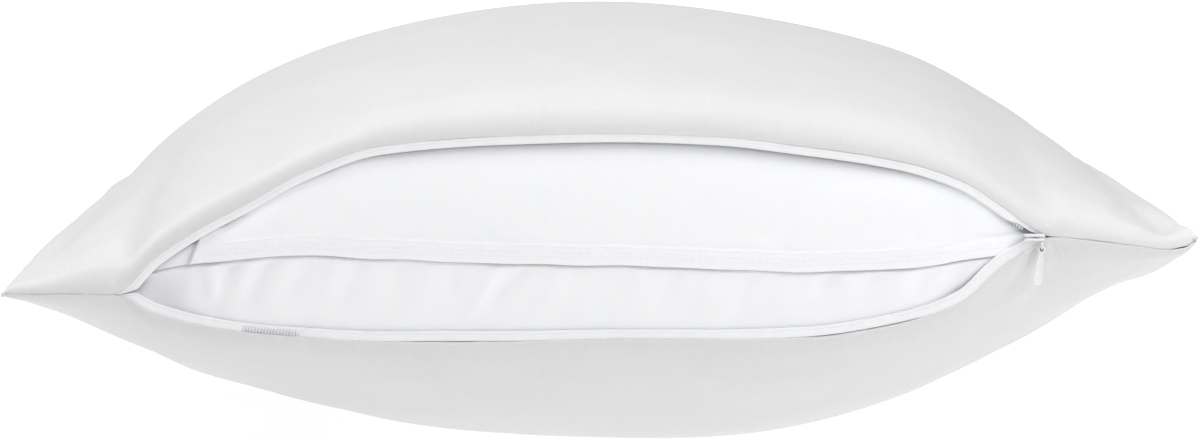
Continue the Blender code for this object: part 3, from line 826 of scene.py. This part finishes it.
def zip_coil(name, up):
    """Wound nylon filament, sewn along the tape."""
    x = np.linspace(*COIL_ENDS, 900)
    edge, into = mouth_edge(x, up)
    centre = edge + into * (COIL_OUT * tape_room(x))[:, None]
    bare = 0 if up else bare_share(x)
    centre[:, 1] += COIL_DEPTH + bare * (BARE_DEPTH - COIL_DEPTH) + roll_front(x, up)
    run = np.concatenate([[0], np.cumsum(np.linalg.norm(np.diff(centre, axis=0), axis=1))])
    steps = np.arange(0, run[-1], COIL_PITCH / COIL_STEPS)
    line = np.stack([np.interp(steps, run, centre[:, k]) for k in range(3)], -1)
    way = np.stack([np.interp(steps, run, into[:, k]) for k in range(3)], -1)
    turn = 2 * math.pi * steps / COIL_PITCH
    wide = (COIL_WIDE - FILAMENT) * np.interp(steps, run, tape_room(x))
    points = line + np.cos(turn)[:, None] * way * wide[:, None]
    flat = 0 if up else 0.45 * np.interp(line[:, 0], x, bare_share(x))
    points[:, 1] += np.sin(turn) * (COIL_DEEP - FILAMENT) * (1 - flat)
    out = np.cos(turn)[:, None] * way + np.sin(turn)[:, None] * np.array([0, 1, 0])
    ring = tube(points, FILAMENT, 5, out)
    return make_piece(name, ring, closed_tube_faces(len(points), 5), NYLON)


tape_upper = zip_tape("woven_tape_upper", True)
tape_lower = zip_tape("woven_tape_lower", False)
coil_upper = zip_coil("wound_coil_upper", True)
coil_lower = zip_coil("wound_coil_lower", False)
for piece, node in (
    (tape_upper, "zip_tape_upper"), (tape_lower, "zip_tape_lower"),
    (coil_upper, "zip_coil_upper"), (coil_lower, "zip_coil_lower"),
):
    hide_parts(node)


# ---------------------------------------------------------------- inner pad
PAD_INSET = 3.4 * MM
PAD_CORNER_X = 194 * MM
PAD_CORNER_Y = 194 * MM
PAD_DRAW = 13 * MM
PAD_EDGE = 0.6 * MM
PAD_BULGE = 5.6 * MM       # how far the filling swells out into the mouth
BULGE_FROM = (-165 * MM, 150 * MM)
BULGE_EASE = 45 * MM
BULGE_LEAST = 0.5
UPPER_RECESS = 3.6 * MM    # the upper casing stands this far behind the tape in the middle
CORNER_SLACK = (
    (1.2 * MM, -138 * MM, -168 * MM), (2.6 * MM, -162 * MM, -173 * MM),
    (2.9 * MM, 138 * MM, 156 * MM),
)
DRAWN_BACK = 1.0 * MM       # of the upper casing where the tape's inner edge comes near it
DRAWN_FROM = -148 * MM
DRAWN_TO = -88 * MM
SHOULDER = 0.6 * MM
FRONT_ROWS = 34

# Sewn band along the pad's front seam, turned down over the lower casing
BAND_HIGH = 6.9 * MM
BAND_PROUD = 0.28 * MM
BAND_THICK = 1.2 * MM
BAND_FOLD_X = -144.0 * MM  # left of here the band folds back
BAND_FOLD_LEAN = 0.42
BAND_FOLD_DEPTH = 2.0 * MM
STITCH_ROWS = (2.2 * MM, 3.8 * MM, 6.2 * MM)   # above its free edge
STITCH_DENT = 0.1 * MM
SLOT_OPEN = 0.9 * MM      # between the band's free edge and the casing below it
SLOT_DEEP = 3.2 * MM
SLOT_HIGH = 2.2 * MM

# Soft creases in the lower casing: from x, z to x, z, widths at both ends and depth in mm.
# A negative depth is a ridge.
CASING_CREASES = [
    # x0,   z0,    x1,    z1,    w0,  w1,  depth
    (-141.0, 75.0, -137.0, 58.0, 3.0, 4.0, -0.9),
    (-132.0, 76.0, -140.0, 54.0, 1.8, 3.5, 1.0),
    (-126.0, 76.0, -131.0, 63.0, 1.6, 2.6, -0.6),
    (-119.0, 77.0, -129.0, 57.0, 2.0, 4.0, 0.9),
    (-112.0, 77.0, -121.0, 60.0, 1.8, 3.0, -0.6),
    (-104.0, 77.5, -114.0, 58.0, 1.8, 3.6, 0.6),
    (-95.0, 77.0, -99.0, 62.0, 2.0, 3.4, -0.5),
    (-86.0, 76.5, -94.0, 60.0, 2.2, 3.6, 0.55),
    (-72.0, 76.0, -76.0, 60.0, 2.6, 4.0, 0.4),
    (-60.0, 75.5, -67.0, 57.0, 2.4, 4.0, -0.4),
    (-51.0, 75.0, -55.0, 62.0, 2.0, 3.0, 0.5),
    (-36.0, 75.0, -48.0, 55.0, 1.8, 2.6, -0.9),
    (-27.0, 73.0, -40.0, 61.0, 2.0, 3.0, 0.8),
    (-14.0, 74.0, -20.0, 60.0, 2.6, 4.0, -0.4),
    (2.0, 73.0, -4.0, 58.0, 2.4, 4.0, 0.4),
    (15.0, 73.0, 13.0, 60.0, 2.4, 4.4, -0.35),
    (28.0, 73.0, 21.0, 57.0, 2.2, 3.6, 0.5),
    (41.0, 72.5, 38.0, 60.0, 2.4, 3.6, -0.35),
    (55.0, 72.0, 48.0, 56.0, 2.2, 4.0, 0.5),
    (68.0, 71.5, 65.0, 60.0, 2.4, 3.6, -0.45),
    (83.0, 71.0, 78.0, 63.0, 2.0, 3.0, 0.7),
    (88.0, 70.5, 90.0, 65.0, 2.0, 2.6, -0.7),
    (99.0, 72.0, 93.0, 60.0, 2.0, 3.4, 0.5),
    (112.0, 73.0, 104.0, 64.0, 2.0, 3.2, -0.4),
    (121.0, 74.0, 112.0, 64.0, 1.8, 3.0, 0.6),
    (133.0, 76.0, 124.0, 68.0, 1.6, 2.6, 0.4),
]
UPPER_CASING_CREASES = [
    (-137.0, 88.0, -128.0, 95.0, 3.0, 4.0, 0.9),
    (-118.0, 84.0, -96.0, 100.0, 5.0, 8.0, 0.5),
    (-40.0, 86.0, -20.0, 112.0, 9.0, 12.0, -0.4),
    (60.0, 82.0, 72.0, 104.0, 8.0, 11.0, 0.4),
    (112.0, 84.0, 126.0, 93.0, 4.0, 6.0, 0.5),
    (124.0, 80.5, 151.0, 86.5, 1.0, 0.8, 0.7),
]


def pad_front(x):
    slack = sum(depth * ease((x - start) / (end - start)) for depth, start, end in CORNER_SLACK)
    return front_line(x) + PAD_INSET + slack


def middle_share(x):
    """1 over the wide part of the mouth, 0 towards its ends."""
    return ease((x + 116 * MM) / (50 * MM)) * ease((138 * MM - x) / (40 * MM))


def pad_bulge(x):
    left = ease((x - BULGE_FROM[0]) / BULGE_EASE)
    right = ease((BULGE_FROM[1] - x) / BULGE_EASE)
    return PAD_BULGE * np.maximum(left * right, BULGE_LEAST)


def lip_height(x):
    """Height of the band's free edge, which wavers a little."""
    waver = 0.22 * np.sin(x / (9 * MM)) * np.sin(x / (23 * MM) + 1) + 0.1 * np.sin(x / (4.1 * MM))
    return front_height(LIP, x) + waver * MM


def pad_half(u, back, up):
    """Upper or lower face of the pad from its front shoulder to its back seam."""
    v = np.sin(back)[None, :]
    u = u[:, None]
    sign = 1 if up else -1
    x = u * (PAD_CORNER_X - PAD_DRAW * (1 - v**2))
    lip = front_height(LIP, u * PAD_CORNER_X)
    column = UPPER if up else LOWER
    reach = 1 * MM
    beside = [front_height(column, u * PAD_CORNER_X + off) for off in (-reach, reach)]
    edge = np.minimum(*beside) if up else np.maximum(*beside)
    shoulder = sign * np.maximum(sign * edge - SHOULDER, sign * lip + 2.4 * MM)
    front = pad_front(x) + (UPPER_RECESS * middle_share(x) if up else 0)
    rear = PAD_CORNER_Y - PAD_DRAW * (1 - u**2)
    y = np.where(v < 0, -v * front, v * rear)
    ends = parting_height(u * np.ones_like(v), -np.ones_like(u * v))
    opened = np.where(v < 0, shoulder - ends, 0)
    crown = (CROWN_UP if up else CROWN_DOWN) - PAD_INSET
    crown = sign * (PAD_EDGE + crown * swell(u, up) * (1 - 0.13 * u**6))
    lift = rise(v, up)
    z = parting_height(u * np.ones_like(v), v * np.ones_like(u)) + opened
    z = z + (crown - opened) * lift + np.where(v > 0, sign * PAD_EDGE * (1 - lift), 0)
    return np.stack([x, y, np.maximum(z, 1.6 * MM)], axis=-1)


def band_fold(x, above):
    """How far the band's left end is folded back."""
    fold_x = BAND_FOLD_X + BAND_FOLD_LEAN * (above - 7.5 * MM)
    return BAND_FOLD_DEPTH * ease((fold_x - x) / (1.6 * MM))


def upper_casing(x, z, high):
    """Y of the upper casing and its band; high is where the casing turns under the panel."""
    lip = lip_height(x)
    t = np.clip((z - lip) / (high - lip), 0, 1)
    depth = pad_bulge(x) + UPPER_RECESS * middle_share(x)
    base = pad_front(x) + UPPER_RECESS * middle_share(x)
    full = np.sqrt(np.clip((high - lip) / (12 * MM), 0.2, 1))
    y = base - depth * full * (1 - t**3.4) ** 0.6
    drawn = ease((x - DRAWN_FROM) / (8 * MM)) * ease((DRAWN_TO - x) / (14 * MM))
    y = y + DRAWN_BACK * drawn * t**4
    above = z - lip
    band_top = np.minimum(BAND_HIGH, 0.75 * (high - lip))
    proud = BAND_PROUD + 0.35 * MM * ease((x - 105 * MM) / (20 * MM))
    y = y - proud * ease((band_top - above) / (0.45 * MM))
    y = y + 0.1 * MM * np.exp(-((above - band_top - 0.5 * MM) / (0.6 * MM)) ** 2)
    y = y + band_fold(x, above)
    for row in STITCH_ROWS:
        y = y + STITCH_DENT * np.exp(-((above - row) / (0.28 * MM)) ** 2) * (
            ease((x + 141 * MM) / (4 * MM)))
    for row in UPPER_CASING_CREASES:
        y = y - crease(x, z, row) * ease(above / (3 * MM))
    return y + 0.15 * MM * np.sin(x / (31 * MM) + z / (17 * MM))


def lower_casing(x, z, lip_y, low):
    """Y of the lower casing from just under the band to where it turns behind the tape."""
    lip = lip_height(x)
    hollow = ease((-138 * MM - x) / (20 * MM))
    dish = ease((-146 * MM - x) / (14 * MM))
    behind = ease((x - 118 * MM) / (15 * MM))
    fall = np.clip((lip - SLOT_OPEN - z) / (lip - SLOT_OPEN - low), 0, 1)
    start = lip_y + 0.95 * MM + 0.5 * MM * hollow
    rest = front_line(x) + (2.8 + 2.4 * behind) * MM
    end = np.maximum(rest, start + 1.2 * MM) * (1 - hollow) + rest * hollow
    y = start + (end - start) * (0.25 * fall + 0.75 * fall**2.2)
    y = y + 9 * MM * dish * fall * (1 - fall)
    soft = ease(fall * 12) * ease((1 - fall) * 3)
    for row in CASING_CREASES:
        y = y - crease(x, z, row) * soft
    uneven = np.sin(x / (5.1 * MM) + z / (7 * MM)) * np.sin(x / (11.3 * MM) - z / (4.3 * MM))
    uneven = uneven + 0.6 * np.sin(x / (2.9 * MM) - z / (5 * MM) + 2 * np.sin(x / (17 * MM)))
    return y + 0.13 * MM * uneven * soft


def build_pad():
    """One closed casing: over the top, round the back, under, and up the front to its lip."""
    ends = PAD_CORNER_X
    u = np.sin(refined(spread_angles(290, 0.1), ends, -153 * MM, -137 * MM, 0.5 * MM))
    back = spread_angles(56, 0.05)
    over, under = pad_half(u, back, True), pad_half(u, back, False)
    x = over[:, 0, 0]
    lip = lip_height(x)
    high, low = over[:, 0, 2], under[:, 0, 2]
    upper = []
    for t in np.concatenate([np.linspace(0, 0.18, 34), np.linspace(0.18, 0.97, 22)[1:]]):
        z = lip + (high - lip) * t
        upper.append(np.stack([x, upper_casing(x, z, high), z], -1))
    lip_y = upper[0][:, 1]
    drop = np.clip((lip - low) / (9 * MM), 0.15, 1)
    thick = BAND_THICK * drop
    edge = []
    for turn in np.linspace(0.3, math.pi, 6):
        edge.append(np.stack([
            x, lip_y + thick / 2 * (1 - math.cos(turn)),
            lip - thick * 0.35 * math.sin(turn)], -1))
    root = 1 + 0.2 * np.sin(x / (13 * MM)) * np.sin(x / (37 * MM))
    deep = lip_y + SLOT_DEEP * drop * root
    edge.append(np.stack([x, lip_y + thick * 1.25, lip + SLOT_HIGH * drop * 0.6], -1))
    edge.append(np.stack([x, (lip_y + thick + deep) / 2, lip + SLOT_HIGH * drop], -1))
    edge.append(np.stack([x, deep, lip + SLOT_HIGH * drop * 0.75], -1))
    top = lip - SLOT_OPEN
    below_y = lip_y - band_fold(x, 0 * x)
    first = lower_casing(x, top, below_y, low)
    edge.append(np.stack([x, deep * 0.6 + first * 0.4, lip + 0.35 * SLOT_HIGH * drop], -1))
    lower = []
    for t in np.linspace(0, 0.97, FRONT_ROWS) ** 1.15:
        z = top + (low - top) * t
        y = lower_casing(x, z, below_y, low)
        y = y + (first * 0.5 + deep * 0.5 - first) * np.exp(-t * 60) * 0.6
        lower.append(np.stack([x, y, z], -1))
    ring = [*upper[::-1], *edge, *lower]
    whole = [*over.transpose(1, 0, 2)[::-1], *ring, *under.transpose(1, 0, 2)]
    points = np.stack(whole, 1)
    count = points.shape[1]
    faces = [list(f) for f in grid_faces(len(x), count, closed=True)]
    for row, turned in ((0, False), (len(x) - 1, True)):
        cap = [row * count + k for k in range(count)]
        faces.append(cap if turned else cap[::-1])
    lie = np.stack([arc_lengths(points, 0), arc_lengths(points, 1)], -1)
    piece = make_piece("casing_pad", points, faces, BLEACHED_COTTON, lie)
    return piece, (x, high)


def cap_pad_ends(piece):
    """Split the sewn ends' faces into triangles, with every face pointing outwards."""
    work = bmesh.new()
    work.from_mesh(piece.data)
    bmesh.ops.triangulate(work, faces=[f for f in work.faces if len(f.verts) > 4])
    bmesh.ops.recalc_face_normals(work, faces=work.faces)
    work.to_mesh(piece.data)
    work.free()
    piece.data.shade_smooth()


pad, pad_high = build_pad()
cap_pad_ends(pad)
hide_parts("inner_pad")


# ---------------------------------------------------------------- slider, pull and stitching
SLIDER = Vector((156 * MM, -204.3 * MM, 84.35 * MM))
PLATE = (7.2 * MM, 3.9 * MM, 0.75 * MM)
PLATE_APART = 1.75 * MM
EYE = Vector((158.6 * MM, -204.3 * MM, 79.9 * MM))
BRIDGE_LOOP = 1.45 * MM
BRIDGE_WIRE = 0.27 * MM
TAB_ROUND = 1.5 * MM       # radius of the pull's round end
TAB_LONG = 11.4 * MM       # from the eye's middle to the round end's middle
TAB_THICK = 0.9 * MM
TAB_NECK = 0.6             # width at the eye as a share of the round end's


def choose(piece, wanted):
    """Select the vertices of an object in edit mode for which wanted(place) holds."""
    bpy.ops.mesh.select_mode(type="VERT")
    bpy.ops.mesh.select_all(action="DESELECT")
    work = bmesh.from_edit_mesh(piece.data)
    for vert in work.verts:
        vert.select = bool(wanted(vert.co))
    work.select_flush_mode()
    bmesh.update_edit_mesh(piece.data)


def fresh(add, **settings):
    """A new primitive, alone in the selection."""
    bpy.ops.object.select_all(action="DESELECT")
    add(**settings)
    return bpy.context.object


def baked(piece, place):
    """Put a finished piece's size and turn into its mesh, with its middle at a place."""
    piece.location = place
    bpy.ops.object.select_all(action="DESELECT")
    piece.select_set(True)
    bpy.context.view_layer.objects.active = piece
    bpy.ops.object.transform_apply(location=True, rotation=True, scale=True)
    return piece


def slider_plate(place, flip):
    """One plate: narrower at its closed end, with a rounded rim and a turned-in flange."""
    plate = fresh(bpy.ops.mesh.primitive_cube_add, size=1)
    plate.scale = PLATE
    bpy.ops.object.transform_apply(scale=True)
    bpy.ops.object.mode_set(mode="EDIT")
    bpy.ops.mesh.select_all(action="SELECT")
    bpy.ops.mesh.subdivide(number_cuts=3)
    choose(plate, lambda co: co.x > PLATE[0] * 0.3)
    bpy.ops.transform.resize(value=(1, 0.72, 1), center_override=(0, 0, 0))
    choose(plate, lambda co: co.x < -PLATE[0] * 0.4)
    bpy.ops.transform.resize(value=(1, 0.8, 1), center_override=(0, 0, 0))
    choose(plate, lambda co: abs(co.y) > PLATE[1] * 0.3 and co.z > PLATE[2] * 0.4)
    bpy.ops.transform.translate(value=(0, 0, -0.14 * MM))
    choose(plate, lambda co: abs(co.y) > PLATE[1] * 0.3 and co.z < -PLATE[2] * 0.4)
    bpy.ops.transform.translate(value=(0, 0, -0.22 * MM))
    bpy.ops.object.mode_set(mode="OBJECT")
    rim = plate.modifiers.new("rim", "BEVEL")
    rim.width = 0.16 * MM
    rim.segments = 2
    rim.limit_method = "ANGLE"
    plate.rotation_euler = (math.pi, 0, 0) if flip else (0, 0, 0)
    bpy.ops.object.modifier_apply(modifier="rim")
    return baked(plate, place)


def slider_bridge():
    """Wire loop under the lower plate, seen from its edge."""
    loop = fresh(bpy.ops.mesh.primitive_torus_add, major_radius=BRIDGE_LOOP,
                 minor_radius=BRIDGE_WIRE, major_segments=30, minor_segments=10,
                 rotation=(0, QUARTER, 0))
    bpy.ops.object.transform_apply(rotation=True)
    bpy.ops.object.mode_set(mode="EDIT")
    choose(loop, lambda co: co.z > BRIDGE_LOOP * 0.6)
    bpy.ops.transform.resize(value=(1.5, 1, 0.7), center_override=(0, 0, BRIDGE_LOOP * 0.6))
    bpy.ops.object.mode_set(mode="OBJECT")
    return baked(loop, (EYE[0], EYE[1], EYE[2] + BRIDGE_LOOP))


def slider_post(place):
    """Post between the plates that parts the two coils."""
    post = fresh(bpy.ops.mesh.primitive_cylinder_add, vertices=20, radius=0.8 * MM,
                 depth=PLATE_APART)
    bpy.ops.object.mode_set(mode="EDIT")
    choose(post, lambda co: co.x > 0.3 * MM)
    bpy.ops.transform.resize(value=(1.7, 0.5, 1), center_override=(0, 0, 0))
    bpy.ops.object.mode_set(mode="OBJECT")
    return baked(post, place)


def joined(name, pieces):
    """One enamelled piece from several, shaded smooth between its sharp edges."""
    bpy.ops.object.select_all(action="DESELECT")
    for piece in pieces:
        piece.select_set(True)
    bpy.context.view_layer.objects.active = pieces[0]
    bpy.ops.object.join()
    whole = bpy.context.object
    whole.name = name
    bpy.ops.object.mode_set(mode="EDIT")
    bpy.ops.mesh.select_all(action="SELECT")
    bpy.ops.mesh.normals_make_consistent(inside=False)
    bpy.ops.object.mode_set(mode="OBJECT")
    bpy.ops.object.shade_smooth_by_angle(angle=math.radians(42))
    whole.data.materials.clear()
    whole.data.materials.append(WHITE_ENAMEL)
    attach(whole, "root")
    return whole


def zip_pull():
    """Drop-shaped tab with a raised rim, and the eye that hangs on the bridge."""
    tab = fresh(bpy.ops.mesh.primitive_cylinder_add, vertices=40, radius=TAB_ROUND,
                depth=TAB_THICK, rotation=(QUARTER, 0, 0))
    bpy.ops.object.transform_apply(rotation=True)
    bpy.ops.object.mode_set(mode="EDIT")
    choose(tab, lambda co: co.z > 0.1 * MM)
    bpy.ops.transform.translate(value=(0, 0, TAB_LONG - TAB_ROUND - 0.6 * MM))
    bpy.ops.transform.resize(value=(TAB_NECK, 1, 0.5),
                             center_override=(0, 0, TAB_LONG - TAB_ROUND))
    bpy.ops.mesh.select_mode(type="FACE")
    bpy.ops.mesh.select_all(action="DESELECT")
    work = bmesh.from_edit_mesh(tab.data)
    for face in work.faces:
        face.select = len(face.verts) > 4
    bmesh.update_edit_mesh(tab.data)
    bpy.ops.mesh.inset(thickness=0.42 * MM)
    bpy.ops.mesh.inset(thickness=0.12 * MM, depth=-0.16 * MM)
    bpy.ops.object.mode_set(mode="OBJECT")
    rim = tab.modifiers.new("rim", "BEVEL")
    rim.width = 0.13 * MM
    rim.segments = 2
    rim.limit_method = "ANGLE"
    bpy.ops.object.modifier_apply(modifier="rim")
    baked(tab, (0, 0, -TAB_LONG))
    eye = fresh(bpy.ops.mesh.primitive_torus_add, major_radius=0.98 * MM,
                minor_radius=0.4 * MM, major_segments=30, minor_segments=12,
                rotation=(QUARTER, 0, 0))
    baked(eye, (0, 0, 0))
    pull = joined("enamelled_pull", [tab, eye])
    pull.rotation_euler = (math.radians(-7), math.radians(7.5), 0)
    return baked(pull, EYE)


half = PLATE_APART / 2
slider = joined("enamelled_slider", [
    slider_plate(SLIDER + Vector((0, 0, half)), False),
    slider_plate(SLIDER - Vector((0, 0, half)), True),
    slider_post(SLIDER - Vector((1.6 * MM, 0, 0))),
    slider_bridge(),
])
pull = zip_pull()
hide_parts("zip_slider")
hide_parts("zip_pull")


def place_shade_pin():
    """Short dark pin in the pull's eye, where the bridge's wire passes through it: painted shade, a
    dark piece standing for the shadow in the eye's hole.
    """
    pin = fresh(bpy.ops.mesh.primitive_cylinder_add, vertices=24, radius=0.5 * MM,
                depth=1.1 * MM, rotation=(QUARTER, 0, 0))
    rim = pin.modifiers.new("rim", "BEVEL")
    rim.width = 0.12 * MM
    rim.segments = 2
    rim.limit_method = "ANGLE"
    bpy.ops.object.modifier_apply(modifier="rim")
    pin.name = "painted_shade_pin"
    pin.data.materials.clear()
    pin.data.materials.append(SHADE_PIN_ZINC)
    return baked(pin, EYE)


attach(place_shade_pin(), "root")


STITCH = 2.7 * MM
THREAD_HALF = 0.17 * MM
THREAD_OUT = 0.08 * MM     # how far a stitch stands out, and how deep it dives between two
THREAD_IN = 0.3 * MM


def stitch_row(name, line, outwards):
    """Lockstitch thread along a line: it surfaces in stitches and dives between them."""
    run = np.concatenate([[0], np.cumsum(np.linalg.norm(np.diff(line, axis=0), axis=1))])
    steps = np.arange(0, run[-1], STITCH / 9)
    path = np.stack([np.interp(steps, run, line[:, k]) for k in range(3)], -1)
    way = np.stack([np.interp(steps, run, outwards[:, k]) for k in range(3)], -1)
    way = way / np.linalg.norm(way, axis=-1, keepdims=True)
    beat = np.abs(np.sin(math.pi * steps / STITCH)) ** 0.45
    path = path + way * (THREAD_OUT * beat - THREAD_IN * (1 - beat))[:, None]
    ring = tube(path, THREAD_HALF, 6, way)
    piece = make_piece(name, ring, closed_tube_faces(len(path), 6), SEWING_THREAD)
    return piece


def band_stitches(above, start, end):
    """A row along the pad's sewn band, this far above its free edge."""
    x = np.arange(start, end, 0.5 * MM)
    wander = 0.12 * MM * np.sin(x / (21 * MM) + above * 900)
    z = lip_height(x) + above + wander
    high = np.interp(x, pad_high[0], pad_high[1])
    y = upper_casing(x, z, high)
    out = np.stack([0 * x, -np.ones_like(x), 0 * x], -1)
    return np.stack([x, y, z], -1), out


for label, above in zip(("lower", "middle", "upper"), STITCH_ROWS):
    stitch_row("band_thread_" + label, *band_stitches(above, -140 * MM, 128 * MM))


# ---------------------------------------------------------------- studio
def flat_sheet(name, size, surface):
    bpy.ops.object.select_all(action="DESELECT")
    bpy.ops.mesh.primitive_plane_add(size=size)
    sheet = bpy.context.object
    sheet.name = name
    sheet.data.materials.append(surface)
    return sheet


def floor_material():
    """Opal acrylic of a light table, matt; its glow is painted light from the sheet itself, dimmer
    to the left and brighter far back.
    """
    made, tree, shader = new_material("opal_acrylic")
    place = add_node(tree, "ShaderNodeTexCoord").outputs["Object"]
    tree.links.new(two_tones(tree, blotches(tree, place, 0.2), "#6d6d6d", "#6f6f6f"),
                   shader.inputs["Base Color"])
    shader.inputs["Roughness"].default_value = 0.9
    shader.inputs["Specular IOR Level"].default_value = 0.1
    shader.inputs["Emission Color"].default_value = (1, 1, 1, 1)
    # painted light: the floor's own glow, weaker on the left to leave the cushion's lower left in
    # shade, stronger far back so the floor reads white
    sides = add_node(tree, "ShaderNodeSeparateXYZ", {"Vector": place})
    glow = add_node(tree, "ShaderNodeMapRange", {"Value": sides.outputs["X"]},
                    From_Min=-0.3, From_Max=0.1, To_Min=0.83, To_Max=0.94)
    distant = add_node(tree, "ShaderNodeMapRange", {"Value": sides.outputs["Y"]},
                       From_Min=0.5, From_Max=2.5, To_Min=0.0, To_Max=0.3)
    tree.links.new(maths(tree, "ADD", glow.outputs["Result"], distant.outputs["Result"]),
                   shader.inputs["Emission Strength"])
    return made


def soft_light(name, place, aim, size, watts):
    data = bpy.data.lights.new(name, "AREA")
    data.shape = "RECTANGLE"
    data.size, data.size_y = size
    data.energy = watts
    light = bpy.data.objects.new(name, data)
    light.location = place
    light.rotation_euler = (Vector(aim) - Vector(place)).to_track_quat("-Z", "Y").to_euler()
    light.visible_camera = False
    bpy.context.scene.collection.objects.link(light)


flat_sheet("studio_floor", 80, floor_material())
soft_light("overhead_softbox", (-0.2, 0.3, 2.3), (0, 0, 0.08), (1.6, 1.4), 15)
soft_light("left_softbox", (-1.6, -0.4, 1.8), (-0.05, -0.1, 0.1), (0.9, 0.9), 22)
soft_light("left_rim_light", (-1.1, 2.0, 1.7), (-0.1, 0, 0.1), (1.2, 1.0), 3)
soft_light("right_key_softbox", (1.48, -0.86, 1.64), (0.12, -0.15, 0.1), (0.7, 0.7), 8)
soft_light("right_accent", (0.98, -1.4, 1.64), (0.15, -0.2, 0.1), (0.35, 0.35), 6)
soft_light("right_near_light", (0.5, -0.65, 0.3), (0.13, -0.2, 0.1), (0.18, 0.18), 0.74)
soft_light("front_fill", (-0.3, -2.8, 0.6), (0, 0, 0.08), (0.8, 0.4), 2)

world = bpy.data.worlds.new("studio")
bpy.context.scene.world = world
world.use_nodes = True
world.node_tree.nodes["Background"].inputs["Color"].default_value = (1, 1, 1, 1)
world.node_tree.nodes["Background"].inputs["Strength"].default_value = 0.42
bpy.context.scene.view_settings.view_transform = "Standard"
